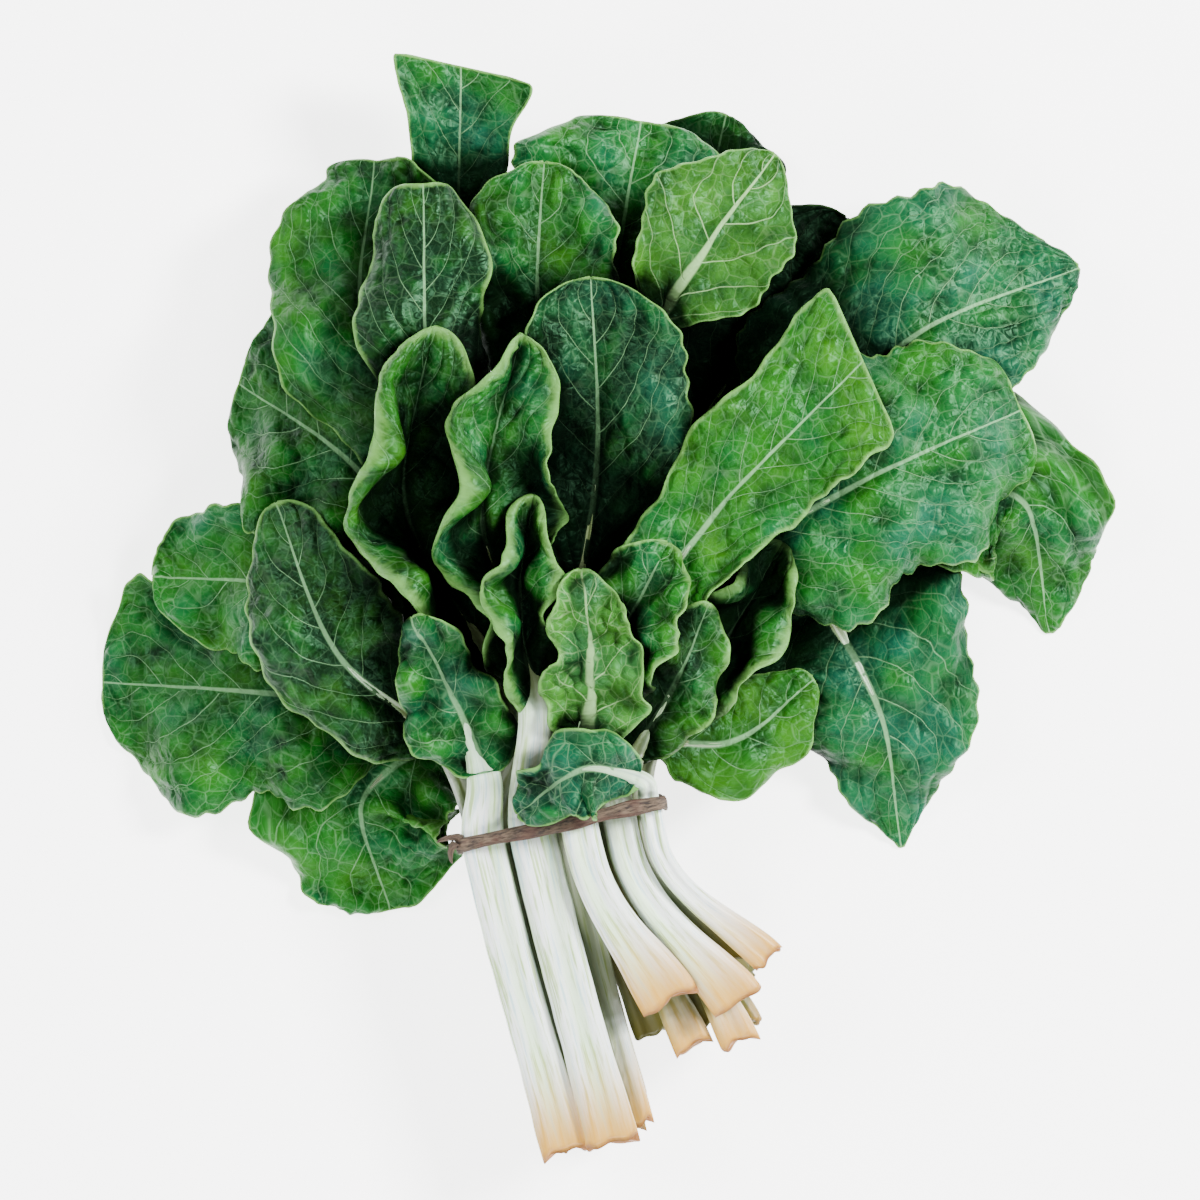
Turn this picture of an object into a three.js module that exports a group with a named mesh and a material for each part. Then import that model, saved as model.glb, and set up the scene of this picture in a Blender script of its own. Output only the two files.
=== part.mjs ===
// A tied bunch of leaf spinach with broad white stalks, lying on its back on a table.
// Millimetres, +Z up. The origin is on the table under the tie, and the leaves point along +Y.
// Each leaf is a pale stalk and a green blade. The leaves are laid on the table one after another, from the
// one underneath to the one on top, and each is lifted just enough to clear all that it lies on.
import * as THREE from "three";

// Driving dimensions.
const BLADE_THICKNESS = 0.9;
const LEAF_GAP = 0.6;
const JOINT_GAP = 0.3;
const TIE_WIDTH = 5;
const TIE_THICKNESS = 1.6;
const TIE_GAP = 0.4;
const TIE_FLAT = 44; // the width of the tie's flat underside, which the bunch rests on
const ROOM_OVER_TIE = 4; // how much higher than the stalks a blade passes over the tie
const BUNDLE_HALF_WIDTH = 31;
const BUNDLE_LEAN = 12.5; // degrees that the stalks lean from +Y towards -X
const STALK_THICKNESS = 5.2;
const RIB_HEIGHT = 3.2; // the midrib under the blade, at its base
const RIB_HALF_WIDTH = 3.4;
const MARGIN_START = 0.72; // share of the half width where a leaf's margin starts to roll

// How finely the solids are cut.
const BLADE_ROWS = 12;
const BLADE_COLUMNS = 8;
const RINGS_BELOW_TIE = 4;
const RINGS_ABOVE_TIE = 4;

// The height map that the leaves are laid on.
const CELL = 0.8;
const MAP_LOW = [-180, -130];
const MAP_SIZE = [460, 490];

const rad = THREE.MathUtils.degToRad;
const mix = THREE.MathUtils.lerp;
const clamp = THREE.MathUtils.clamp;
const vector = (p) => new THREE.Vector3(...p);
const along = new THREE.Vector3(-Math.sin(rad(BUNDLE_LEAN)), Math.cos(rad(BUNDLE_LEAN)), 0);
const across = new THREE.Vector3(Math.cos(rad(BUNDLE_LEAN)), Math.sin(rad(BUNDLE_LEAN)), 0);

// A repeatable draw from 0 to 1 for each whole number.
function draw(n) {
  const x = Math.sin(n * 12.9898 + 4.1414) * 43758.5453;
  return x - Math.floor(x);
}

// The leaves from the lowest to the topmost. layer is the leaf's place in the bundle, base, middle and tip are
// points on the midrib of the blade, half is the widest half width and peak how far along the blade that is.
// blunt says how square the blade is at its base and at its tip, where smaller is squarer, and heart how far its
// base reaches back beside the stalk. fold is the angle at which the left and right halves leave the midrib, curl
// how far each turns up by its margin, and roll how far the margin itself turns. wave is the margin's ripple, with
// its height, count and start. square is the half width of a tip that ends squarely, and slant how far its left
// corner is in front of its right one. Each of the bumps widens the blade on one side, with its side, its place
// along the blade, its share of the width and its reach. A leaf with over: true shows its underside.
const LEAVES = [
  { name: "lower_left", layer: 0, stalk: 8, base: [-31, 24, 12], middle: [-59, 8, 14], tip: [-52, -27, 1], half: 28,
    peak: 0.5, fold: [6, 4], curl: [10, -12], roll: [20, -30], wave: [5, 3.3, 2.2], square: 6,
    bumps: [[0, 0.84, 0.35, 0.08], [1, 0.6, 0.12, 0.15]] },
  { name: "left_low", layer: 0, stalk: 8, base: [-38, 32, 16], middle: [-80, 38, 20], tip: [-139, 42, -3], half: 34,
    peak: 0.56, heart: 0.3, fold: [4, 4], curl: [-20, 14], roll: [-30, 20], wave: [5, 2.5, 0.4], square: 7,
    bumps: [[1, 0.62, -0.22, 0.1], [1, 0.88, 0.42, 0.08], [0, 0.8, 0.28, 0.12]] },
  { name: "right_low", layer: 0, stalk: 9, base: [73, 70, 20], middle: [94, 38, 20], tip: [103, -8, -3], half: 33,
    peak: 0.34, blunt: [0.3, 1], heart: 0.5, fold: [8, 8], curl: [-18, -14], roll: [-20, -20], wave: [3, 2.5, 1],
    bumps: [[1, 0.13, 0.6, 0.17], [1, 0.55, -0.1, 0.12], [0, 0.38, 0.09, 0.3]] },
  { name: "right_far", layer: 0, stalk: 9, base: [104, 92, 16], middle: [135, 99, 20], tip: [148, 57, -2], half: 27,
    peak: 0.42, blunt: [0.5, 0.9], fold: [6, 6], curl: [-12, -26], roll: [-30, -30], wave: [5, 3, 0.2],
    bumps: [[1, 0.5, -0.25, 0.1], [0, 0.22, 0.3, 0.1], [0, 0.6, -0.08, 0.12], [0, 0.82, 0.14, 0.08]] },
  { name: "top_back", layer: 0, stalk: 8, base: [22, 130, 12], middle: [40, 174, 16], tip: [50, 214, -2], half: 25,
    peak: 0.62, fold: [6, 6], curl: [8, -20], roll: [20, -40], wave: [5, 3.5, 1.3], bumps: [[0, 0.8, 0.25, 0.08]] },

  { name: "left_middle", layer: 1, stalk: 8, base: [-42, 50, 26], middle: [-81, 70, 30], tip: [-123, 74, 8], half: 24,
    peak: 0.6, fold: [6, 6], curl: [-16, 10], roll: [-30, 30], wave: [5, 3, 1.1],
    bumps: [[1, 0.7, 0.02, 0.1], [1, 0.9, 0.2, 0.06]] },
  { name: "top_tall", layer: 1, stalk: 9, base: [-19, 105, 22], middle: [-30, 170, 26], tip: [-30, 227, 32], half: 12,
    peak: 0.8, blunt: [0.9, 0.3], fold: [6, 6], curl: [14, 10], roll: [10, 20], wave: [1.5, 2, 0.6], square: 17,
    slant: -0.22, bumps: [[1, 0.62, 0.3, 0.12], [0, 0.55, -0.2, 0.15]] },
  { name: "top_middle_back", layer: 1, stalk: 9, base: [9, 120, 22], middle: [17, 170, 30], tip: [24, 211, 20],
    half: 33, peak: 0.68, blunt: [0.8, 0.5], fold: [6, 6], curl: [-14, -14], roll: [-20, -30], wave: [5, 3, 0.9],
    square: 8, bumps: [[0, 0.86, 0.2, 0.06], [1, 0.85, 0.25, 0.08]] },
  { name: "right_dark", layer: 1, stalk: 8, base: [28, 92, 22], middle: [57, 143, 24], tip: [86, 182, 18], half: 30,
    peak: 0.62, fold: [8, 8], curl: [10, 10], roll: [20, 10], wave: [4, 2.5, 3] },
  { name: "right_top", layer: 1, stalk: 9, base: [66, 104, 26], middle: [106, 146, 32], tip: [156, 167, 18], half: 41,
    peak: 0.5, blunt: [0.62, 0.8], heart: 0.2, fold: [8, 8], curl: [-12, -24], roll: [-14, -34], wave: [4, 2.5, 1.7],
    bumps: [[0, 0.74, 0.2, 0.08], [0, 0.48, -0.13, 0.1], [1, 0.76, -0.24, 0.12]] },

  { name: "left", layer: 2, stalk: 8, base: [-36, 72, 32], middle: [-63, 108, 40], tip: [-97, 132, 20], half: 32,
    peak: 0.6, fold: [8, 8], curl: [-20, 12], roll: [-30, 20], wave: [5, 2.5, 0.3], square: 7, slant: 0.3,
    bumps: [[0, 0.75, 0.1, 0.1], [1, 0.84, 0.45, 0.09]] },
  { name: "upper_left", layer: 2, stalk: 8, base: [-32, 96, 32], middle: [-59, 146, 38], tip: [-56, 199, 22],
    half: 27, peak: 0.6, fold: [10, 10], curl: [-20, 16], roll: [-20, 30], wave: [5, 3, 2], square: 8,
    bumps: [[0, 0.8, 0.12, 0.07], [0, 0.93, -0.3, 0.05], [1, 0.9, 0.2, 0.08]] },
  { name: "top_middle", layer: 2, stalk: 8, base: [-1, 112, 34], middle: [-7, 158, 40], tip: [-5, 198, 38], half: 25,
    peak: 0.66, fold: [14, 12], curl: [26, 12], roll: [-70, -30], wave: [5, 3, 0.1] },
  { name: "top_pale", layer: 2, stalk: 7, base: [27, 146, 44], middle: [42, 170, 50], tip: [64, 200, 46], half: 23,
    peak: 0.55, blunt: [1, 0.8], fold: [-4, -4], curl: [-10, -16], roll: [0, 0], wave: [2.5, 2, 1.1], over: true },
  { name: "right_middle", layer: 2, stalk: 9, base: [40, 70, 36], middle: [86, 100, 44], tip: [138, 124, 24],
    half: 36, peak: 0.56, heart: 0.2, fold: [8, 8], curl: [-10, -24], roll: [-20, -40], wave: [5, 3, 0.6], square: 10,
    bumps: [[1, 0.33, 0.25, 0.09], [1, 0.5, -0.15, 0.07]] },
  { name: "low_right", layer: 2, stalk: 7, base: [28, 23, 30], middle: [50, 24, 28], tip: [76, 43, 16], half: 16,
    peak: 0.5, heart: 0, fold: [10, 10], curl: [-20, -30], roll: [-20, -20], wave: [3, 2.5, 2.3] },

  { name: "left_front", layer: 3, stalk: 8, base: [-35, 22, 34], middle: [-66, 50, 44], tip: [-85, 96, 40], half: 22,
    peak: 0.5, fold: [6, 6], curl: [-22, 16], roll: [-40, 20], wave: [4, 2.5, 2.4] },
  { name: "dome", layer: 3, stalk: 8, base: [-16, 66, 42], middle: [-38, 128, 52], tip: [-41, 191, 50], half: 19,
    peak: 0.7, fold: [8, 8], curl: [-40, -26], roll: [-20, -40], wave: [5, 2.7, 0.2], square: 6 },
  { name: "cup_outer", layer: 3, stalk: 9, base: [-17, 40, 40], middle: [-46, 94, 42], tip: [-38, 148, 54], half: 29,
    peak: 0.56, blunt: [0.5, 0.5], fold: [58, 20], curl: [26, 10], roll: [-120, 0], wave: [8, 2.6, 0.5] },
  { name: "centre_dark", layer: 3, stalk: 8, base: [5, 56, 40], middle: [11, 112, 42], tip: [9, 163, 52], half: 29,
    peak: 0.66, blunt: [0.7, 0.5], fold: [10, 10], curl: [14, 8], roll: [20, -20], wave: [4, 2, 1.9] },
  { name: "right_front", layer: 3, stalk: 8, base: [30, 30, 38], middle: [50, 56, 42], tip: [66, 84, 40], half: 18,
    peak: 0.55, fold: [48, 34], curl: [24, 20], roll: [-60, -60], wave: [5, 2.5, 0.8] },

  { name: "cup_inner", layer: 4, stalk: 9, base: [-8, 38, 46], middle: [-23, 90, 50], tip: [-12, 146, 60], half: 24,
    peak: 0.56, blunt: [0.5, 0.5], fold: [60, 24], curl: [24, 10], roll: [-110, 0], wave: [8, 2.8, 1.6] },
  { name: "diagonal", layer: 4, stalk: 10, base: [10, 38, 44], middle: [44, 90, 56], tip: [90, 138, 58], half: 20,
    peak: 0.66, blunt: [0.55, 0.42], fold: [10, 10], curl: [-20, 12], roll: [-10, 10], wave: [4, 2.5, 0.9],
    square: 19, slant: -0.4, bumps: [[1, 0.55, -0.18, 0.06]] },
  { name: "right_inner", layer: 4, stalk: 8, base: [22, 20, 42], middle: [34, 42, 48], tip: [44, 66, 44], half: 13,
    peak: 0.5, fold: [34, 8], curl: [20, -20], roll: [-60, -20], wave: [4, 2.5, 1.6] },

  { name: "front_left", layer: 5, stalk: 14, base: [-23, 15, 46], middle: [-32, 38, 54], tip: [-44, 62, 50], half: 14,
    peak: 0.5, fold: [6, 14], curl: [-24, 20], roll: [-10, -40], wave: [4, 2.5, 1.1],
    bumps: [[0, 0.4, 0.3, 0.1], [1, 0.6, -0.3, 0.1]] },
  { name: "cup_small", layer: 5, stalk: 15, base: [-7, 34, 48], middle: [-12, 64, 52], tip: [-8, 98, 60], half: 15,
    peak: 0.62, fold: [54, 50], curl: [14, 14], roll: [-60, -60], wave: [5, 2.5, 0.2] },
  { name: "front_crumpled", layer: 5, stalk: 11, base: [14, 30, 46], middle: [18, 54, 56], tip: [32, 84, 58],
    half: 16, peak: 0.6, fold: [8, 18], curl: [-20, 30], roll: [0, -60], wave: [5, 3, 0.3],
    bumps: [[0, 0.5, -0.25, 0.1]] },
  { name: "front_pale", layer: 5, stalk: 12, base: [8, 22, 44], middle: [9, 48, 52], tip: [6, 76, 52], half: 14,
    peak: 0.5, fold: [-4, -4], curl: [-16, -16], roll: [0, 0], wave: [3, 3, 1.4], over: true,
    bumps: [[0, 0.3, 0.3, 0.1], [1, 0.6, -0.3, 0.1]] },
  { name: "tucked", layer: 5, stalk: 7, base: [23, 14, 50], middle: [9, 17, 52], tip: [-13, 3, 44], half: 12,
    peak: 0.5, heart: 0, fold: [10, 10], curl: [-20, -26], roll: [0, 0], wave: [3, 3, 0.4],
    bumps: [[0, 0.4, 0.3, 0.1], [1, 0.65, -0.3, 0.08]] },
];


// A smooth curve through points, measured by the length of its chords. Its slope at a point is the mean of the
// slopes on the two sides, where the nearer neighbour counts more.
function smoothCurve(points) {
  const knots = [0];
  for (let i = 1; i < points.length; i++) {
    knots.push(knots[i - 1] + points[i].distanceTo(points[i - 1]));
  }
  const last = points.length - 1;
  const chord = (i) => points[i + 1].clone().sub(points[i]).divideScalar(knots[i + 1] - knots[i]);
  const slopes = points.map((_, i) => {
    if (i === 0) return chord(0);
    if (i === last) return chord(last - 1);
    const before = knots[i] - knots[i - 1];
    const after = knots[i + 1] - knots[i];
    return chord(i - 1).multiplyScalar(after).addScaledVector(chord(i), before).divideScalar(before + after);
  });
  const at = (s) => {
    let i = 0;
    while (i < last - 1 && s > knots[i + 1]) i++;
    const length = knots[i + 1] - knots[i];
    const t = (s - knots[i]) / length;
    const place = points[i].clone().multiplyScalar((1 + 2 * t) * (1 - t) * (1 - t));
    place.addScaledVector(slopes[i], length * t * (1 - t) * (1 - t));
    place.addScaledVector(points[i + 1], t * t * (3 - 2 * t));
    return place.addScaledVector(slopes[i + 1], length * t * t * (t - 1));
  };
  return { knots, at };
}

// The stalks of one layer pass through the tie side by side, in the order in which their leaves fan out.
function slotOf(leaf) {
  const bearing = ({ base }) => Math.atan2(vector(base).dot(across), vector(base).dot(along));
  const layer = LEAVES.filter((other) => other.layer === leaf.layer).sort((a, b) => bearing(a) - bearing(b));
  const room = 2 * BUNDLE_HALF_WIDTH - (leaf.layer === 0 ? 16 : 0);
  const spare = (room - layer.reduce((sum, other) => sum + other.stalk, 0)) / layer.length;
  const before = layer.slice(0, layer.indexOf(leaf)).reduce((sum, other) => sum + other.stalk + spare, 0);
  return before + (leaf.stalk + spare) / 2 - room / 2;
}

// The stalk below the tie: long and straight on the left, shorter and splayed out to the right, and between the
// two a few longer ones of the middle layers.
function cutEnd(slotPoint, slot, splayed, index) {
  const inner = splayed && [2, 3].includes(LEAVES[index].layer);
  const splay = inner ? 6 + 0.2 * slot : 11 + 0.5 * slot;
  const turn = rad((splayed ? splay : 1 - 0.09 * slot) + 2 * (draw(index) - 0.5));
  const straight = inner ? 74 : splayed ? 61 : 91;
  const length = straight + 14 * (draw(index + 50) - 0.5);
  return slotPoint
    .clone()
    .addScaledVector(along, -Math.cos(turn) * length)
    .addScaledVector(across, Math.sin(turn) * length)
    .setZ(slotPoint.z * 0.8);
}

// The leaf's line from its cut end through the tie and along the midrib.
function spineOf(leaf, index) {
  const slot = slotOf(leaf);
  const slotPoint = across.clone().multiplyScalar(slot).setZ(5 + leaf.layer * STALK_THICKNESS);
  const splayed = slot > 5;
  const below = slotPoint.clone().addScaledVector(along, -14);
  const end = cutEnd(slotPoint, slot, splayed, index);
  const curve = smoothCurve([end, below, slotPoint, ...[leaf.base, leaf.middle, leaf.tip].map(vector)]);
  const [, , tie, base, , tip] = curve.knots;
  return { ...curve, tie, base, tip, splayed };
}

const smooth = (t) => t * t * (3 - 2 * t);

// Where the leaf's line is at s, with the way it runs, the way to its right and the way that it faces. The stalk
// of a leaf that lies face down is twisted by half a turn between the tie and the blade.
function frameAt(leaf, spine, s) {
  const step = 0.5;
  const forward = spine.at(Math.min(s + step, spine.tip)).sub(spine.at(Math.max(s - step, 0))).normalize();
  const toBase = clamp((s - spine.tie) / (spine.base - spine.tie), 0, 1);
  const over = leaf.over ? Math.PI * smooth(toBase) : 0;
  const facing = new THREE.Vector3(Math.sin(over), 0, Math.cos(over));
  const right = forward.clone().cross(facing).normalize();
  return { centre: spine.at(s), forward, right, face: right.clone().cross(forward).normalize() };
}

// The end of an arc of a given length that starts at an angle and turns by another.
function arcEnd(length, start, turn) {
  if (Math.abs(turn) < 1e-4) return [length * Math.cos(start), length * Math.sin(start)];
  const radius = length / turn;
  return [radius * (Math.sin(start + turn) - Math.sin(start)), radius * (Math.cos(start) - Math.cos(start + turn))];
}

const stalkHalfWidthAtBase = (leaf) => leaf.stalk * 0.36;

// Half the width of the blade at u, from 0 at its base to 1 at its tip.
function bladeHalfWidth(leaf, u, side) {
  const [atBase, atTip] = leaf.blunt ?? [0.62, 0.55];
  const swell = Math.max(Math.sin(Math.PI * Math.pow(u, Math.log(0.5) / Math.log(leaf.peak))), 0);
  let lobes = 1 + 0.07 * Math.sin(2 * Math.PI * (leaf.wave[1] + 0.7) * u + leaf.wave[2] * 2 + side * 1.7);
  for (const [onSide, place, amount, reach] of leaf.bumps ?? []) {
    if (onSide === side) lobes += amount * Math.exp(-(((u - place) / reach) ** 2));
  }
  const wide = leaf.half * lobes * Math.pow(swell, u < leaf.peak ? atBase : atTip);
  return stalkHalfWidthAtBase(leaf) * (1 - u) ** 2 + wide + (leaf.square ?? 1) * u ** 8;
}

// A point of the blade: v runs from -1 at the left margin to 1 at the right one. The cross-section is an arc that
// leaves the midrib at the fold angle and turns by curl, then an arc for the margin that turns by roll.
function bladePoint(leaf, spine, u, v) {
  const { centre, forward, right, face } = frameAt(leaf, spine, mix(spine.base, spine.tip, u));
  const side = v < 0 ? 0 : 1;
  const open = Math.min(1, u / 0.25);
  const width = bladeHalfWidth(leaf, u, side);
  const inner = Math.min(Math.abs(v), MARGIN_START);
  const outer = Math.max(Math.abs(v) - MARGIN_START, 0);
  const start = rad(leaf.fold[side]) * open;
  const curl = rad(leaf.curl[side]) * open * inner;
  const roll = (rad(leaf.roll[side]) * open * outer) / (1 - MARGIN_START);
  const [x1, z1] = arcEnd(width * inner, start, curl);
  const [x2, z2] = arcEnd(width * outer, start + curl, roll);
  const lean = start + curl + 0.4 * roll;
  const [height, count, phase] = leaf.wave;
  const swing = Math.sin(2 * Math.PI * count * u + phase + (side ? 0 : 2.1));
  const margin = height * swing * Math.pow(Math.abs(v), 1.8) * (0.3 + 0.7 * Math.sin(Math.PI * u)) * open;
  const heave = Math.sin(2 * Math.PI * (0.8 * count + 0.9) * u + 1.3 * phase + 2 * side);
  const ripple = margin + 1.3 * height * heave * Math.abs(v) * (1 - v * v) * Math.sin(Math.PI * u) * open;
  const x = x1 + x2 - ripple * Math.sin(lean);
  const z = z1 + z2 + ripple * Math.cos(lean);
  const slant = (leaf.slant ?? 0) * (side ? 1 : -1) * width * Math.abs(v) * u ** 4;
  const back = (leaf.heart ?? 0.12) * open * width * v * v * (1 - u) ** 2 - slant;
  return centre.addScaledVector(right, side ? x : -x).addScaledVector(face, z).addScaledVector(forward, -back);
}

// The rows of a blade lie closer together near its base and its tip.
const alongBlade = (row) => row / BLADE_ROWS - (0.5 * Math.sin((2 * Math.PI * row) / BLADE_ROWS)) / (2 * Math.PI);

// The midrib stands out under the blade and fades to its tip.
function ribHeight(leaf, u, v) {
  const away = (v * bladeHalfWidth(leaf, u, 0)) / RIB_HALF_WIDTH;
  return RIB_HEIGHT * Math.pow(1 - u, 1.3) * Math.exp(-away * away);
}

// The stalk's half width and half thickness at s: flared and thin at the cut end, pinched under the tie.
function stalkSection(leaf, spine, s) {
  const fromEnd = Math.exp(-((s / 20) ** 2));
  const toBase = clamp((s - spine.tie) / (spine.base - spine.tie), 0, 1);
  const flare = spine.splayed ? 0.3 : 0.08;
  const width = leaf.stalk * (0.46 + flare * fromEnd) * mix(1, 0.78, toBase);
  return { halfWidth: width, halfThickness: (STALK_THICKNESS / 2) * mix(1, 0.72, toBase) * (1 - 0.25 * fromEnd) };
}

// Laying the leaves on the pile.

const map = new Float64Array(MAP_SIZE[0] * MAP_SIZE[1]).fill(-LEAF_GAP);
const cellOf = (x, y) => [Math.floor((x - MAP_LOW[0]) / CELL), Math.floor((y - MAP_LOW[1]) / CELL)];

const nearTie = (x, y) =>
  Math.abs(x * along.x + y * along.y) < TIE_WIDTH && Math.abs(x * across.x + y * across.y) < BUNDLE_HALF_WIDTH + 7;

// The tie passes under the stalks, so the table is as much higher there.
for (let j = 0; j < MAP_SIZE[1]; j++) {
  for (let i = 0; i < MAP_SIZE[0]; i++) {
    const under = nearTie(MAP_LOW[0] + (i + 0.5) * CELL, MAP_LOW[1] + (j + 0.5) * CELL);
    if (under) map[j * MAP_SIZE[0] + i] = TIE_GAP + TIE_THICKNESS - LEAF_GAP;
  }
}

// Each sample of a strip of cells lies on one of a cell's two triangles and is a weighted mean of its corners.
function samplesOf(rows, columns, steps) {
  const samples = [];
  for (let i = 0; i < rows - 1; i++) {
    for (let j = 0; j < columns - 1; j++) {
      const corners = [i * columns + j, (i + 1) * columns + j, i * columns + j + 1, (i + 1) * columns + j + 1];
      const [near, far, nearRight, farRight] = corners;
      for (let p = 0; p <= steps[0]; p++) {
        for (let q = 0; q <= steps[1]; q++) {
          const a = p / steps[0];
          const b = q / steps[1];
          if (a + b <= 1) samples.push([near, far, nearRight, 1 - a - b, a, b]);
          else samples.push([farRight, nearRight, far, a + b - 1, 1 - a, 1 - b]);
        }
      }
    }
  }
  return samples;
}

const blend = (values, [a, b, c, wa, wb, wc]) => values[a] * wa + values[b] * wb + values[c] * wc;

// How far each point of a strip must rise for the whole strip to clear the pile.
function liftNeeded(strip, samples, overTie = 0, skipRows = 0) {
  const lift = new Float64Array(strip.x.length);
  for (const sample of samples) {
    if (Math.min(sample[0], sample[1], sample[2]) < skipRows * columns) continue;
    const [x, y] = [blend(strip.x, sample), blend(strip.y, sample)];
    const [i, j] = cellOf(x, y);
    const room = LEAF_GAP + (nearTie(x, y) ? overTie : 0);
    const short = map[j * MAP_SIZE[0] + i] + room - blend(strip.low, sample);
    for (let k = 0; k < 3; k++) lift[sample[k]] = Math.max(lift[sample[k]], short);
  }
  return lift;
}

// Spreads the lift smoothly over its neighbours, and never takes any away. The level rows are those of the stalk
// and the first row of the blade, which rises as much as the end of the stalk.
function spreadLift(lift, rows, levelRows, heldRows) {
  const least = Float64Array.from(lift);
  for (let pass = 0; pass < 24; pass++) {
    const before = Float64Array.from(lift);
    for (let i = heldRows; i < rows; i++) {
      for (let j = 0; j < columns; j++) {
        const up = before[Math.max(i - 1, 0) * columns + j];
        const down = before[Math.min(i + 1, rows - 1) * columns + j];
        const left = before[i * columns + Math.max(j - 1, 0)];
        const right = before[i * columns + Math.min(j + 1, columns - 1)];
        const here = i * columns + j;
        lift[here] = Math.max(least[here], (up + down + left + right + 4 * before[here]) / 8);
      }
      if (i < levelRows) {
        const first = i === levelRows - 1 ? i - 1 : i;
        const level = Math.max(...lift.subarray(first * columns, (i + 1) * columns));
        lift.fill(level, first * columns, (i + 1) * columns);
      }
    }
  }
}

// Adds a strip's upper side to the pile, with a cell of room all round.
function addToPile(strip, samples) {
  for (const sample of samples) {
    const [i, j] = cellOf(blend(strip.x, sample), blend(strip.y, sample));
    const top = blend(strip.high, sample);
    for (let dj = -1; dj <= 1; dj++) {
      for (let di = -1; di <= 1; di++) {
        const cell = (j + dj) * MAP_SIZE[0] + i + di;
        map[cell] = Math.max(map[cell], top);
      }
    }
  }
}

const stalkRows = RINGS_BELOW_TIE + RINGS_ABOVE_TIE + 1;
const columns = BLADE_COLUMNS + 1;
const bladeRows = BLADE_ROWS + 1;
const stalkSamples = samplesOf(stalkRows, columns, [40, 4]);
const bladeSamples = samplesOf(bladeRows, columns, [14, 14]);

function stationOfRing(spine, ring) {
  if (ring <= RINGS_BELOW_TIE) return (spine.tie * ring) / RINGS_BELOW_TIE;
  const top = spine.base - JOINT_GAP;
  return mix(spine.tie, top, (ring - RINGS_BELOW_TIE) / RINGS_ABOVE_TIE);
}

function stripOf(points, lows, highs) {
  return {
    x: points.map((p) => p.x),
    y: points.map((p) => p.y),
    low: points.map((p, k) => p.z - lows[k]),
    high: points.map((p, k) => p.z + highs[k]),
  };
}

const raise = (strip, lift) => ({
  ...strip,
  low: strip.low.map((z, k) => z + lift[k]),
  high: strip.high.map((z, k) => z + lift[k]),
});

// The stalk as a strip as wide as the stalk, and the blade as its middle surface.
function stalkStrip(leaf, spine) {
  const points = [];
  const depth = [];
  for (let i = 0; i < stalkRows; i++) {
    const s = stationOfRing(spine, i);
    const { centre, right } = frameAt(leaf, spine, s);
    const { halfWidth, halfThickness } = stalkSection(leaf, spine, s);
    for (let j = 0; j < columns; j++) {
      const v = (2 * j) / BLADE_COLUMNS - 1;
      points.push(centre.clone().addScaledVector(right, v * halfWidth));
      depth.push(halfThickness * Math.sqrt(1 - 0.75 * v * v));
    }
  }
  return stripOf(points, depth, depth);
}

function bladeStrip(leaf, spine) {
  const points = [];
  const lows = [];
  const highs = [];
  for (let i = 0; i < bladeRows; i++) {
    const u = alongBlade(i);
    const { face } = frameAt(leaf, spine, mix(spine.base, spine.tip, u));
    for (let j = 0; j < columns; j++) {
      const v = (2 * j) / BLADE_COLUMNS - 1;
      const rib = ribHeight(leaf, u, v);
      points.push(bladePoint(leaf, spine, u, v));
      lows.push(BLADE_THICKNESS / 2 + 0.2 + (face.z > 0 ? rib : 0));
      highs.push(BLADE_THICKNESS / 2 + 0.2 + (face.z > 0 ? 0 : rib));
    }
  }
  return { points, strip: stripOf(points, lows, highs) };
}

// Lays one leaf on the pile, and returns the lift of each row of its stalk and each point of its blade.
function layLeaf(leaf, spine) {
  const stalk = stalkStrip(leaf, spine);
  const { points, strip: blade } = bladeStrip(leaf, spine);
  const whole = new Float64Array((stalkRows + bladeRows) * columns);
  whole.set(liftNeeded(stalk, stalkSamples));
  whole.set(liftNeeded(blade, bladeSamples, ROOM_OVER_TIE), stalkRows * columns);
  spreadLift(whole, stalkRows + bladeRows, stalkRows + 1, 0);
  const stalkLift = whole.slice(0, stalkRows * columns);
  const bladeLift = whole.slice(stalkRows * columns);
  addToPile(raise(stalk, stalkLift), stalkSamples);
  // A blade that bends back over its own stalk rises clear of it.
  const more = liftNeeded(raise(blade, bladeLift), bladeSamples, ROOM_OVER_TIE, 3);
  spreadLift(more, bladeRows, 0, 2);
  more.forEach((extra, k) => (bladeLift[k] += extra));
  addToPile(raise(blade, bladeLift), bladeSamples);
  points.forEach((p, k) => (p.z += bladeLift[k]));
  return { points, stalkLift };
}

// Solids.

function meshOf(positions, indices) {
  const geometry = new THREE.BufferGeometry();
  geometry.setAttribute("position", new THREE.Float32BufferAttribute(positions.flatMap((p) => [p.x, p.y, p.z]), 3));
  geometry.setIndex(indices);
  geometry.computeVertexNormals();
  return geometry;
}

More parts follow.
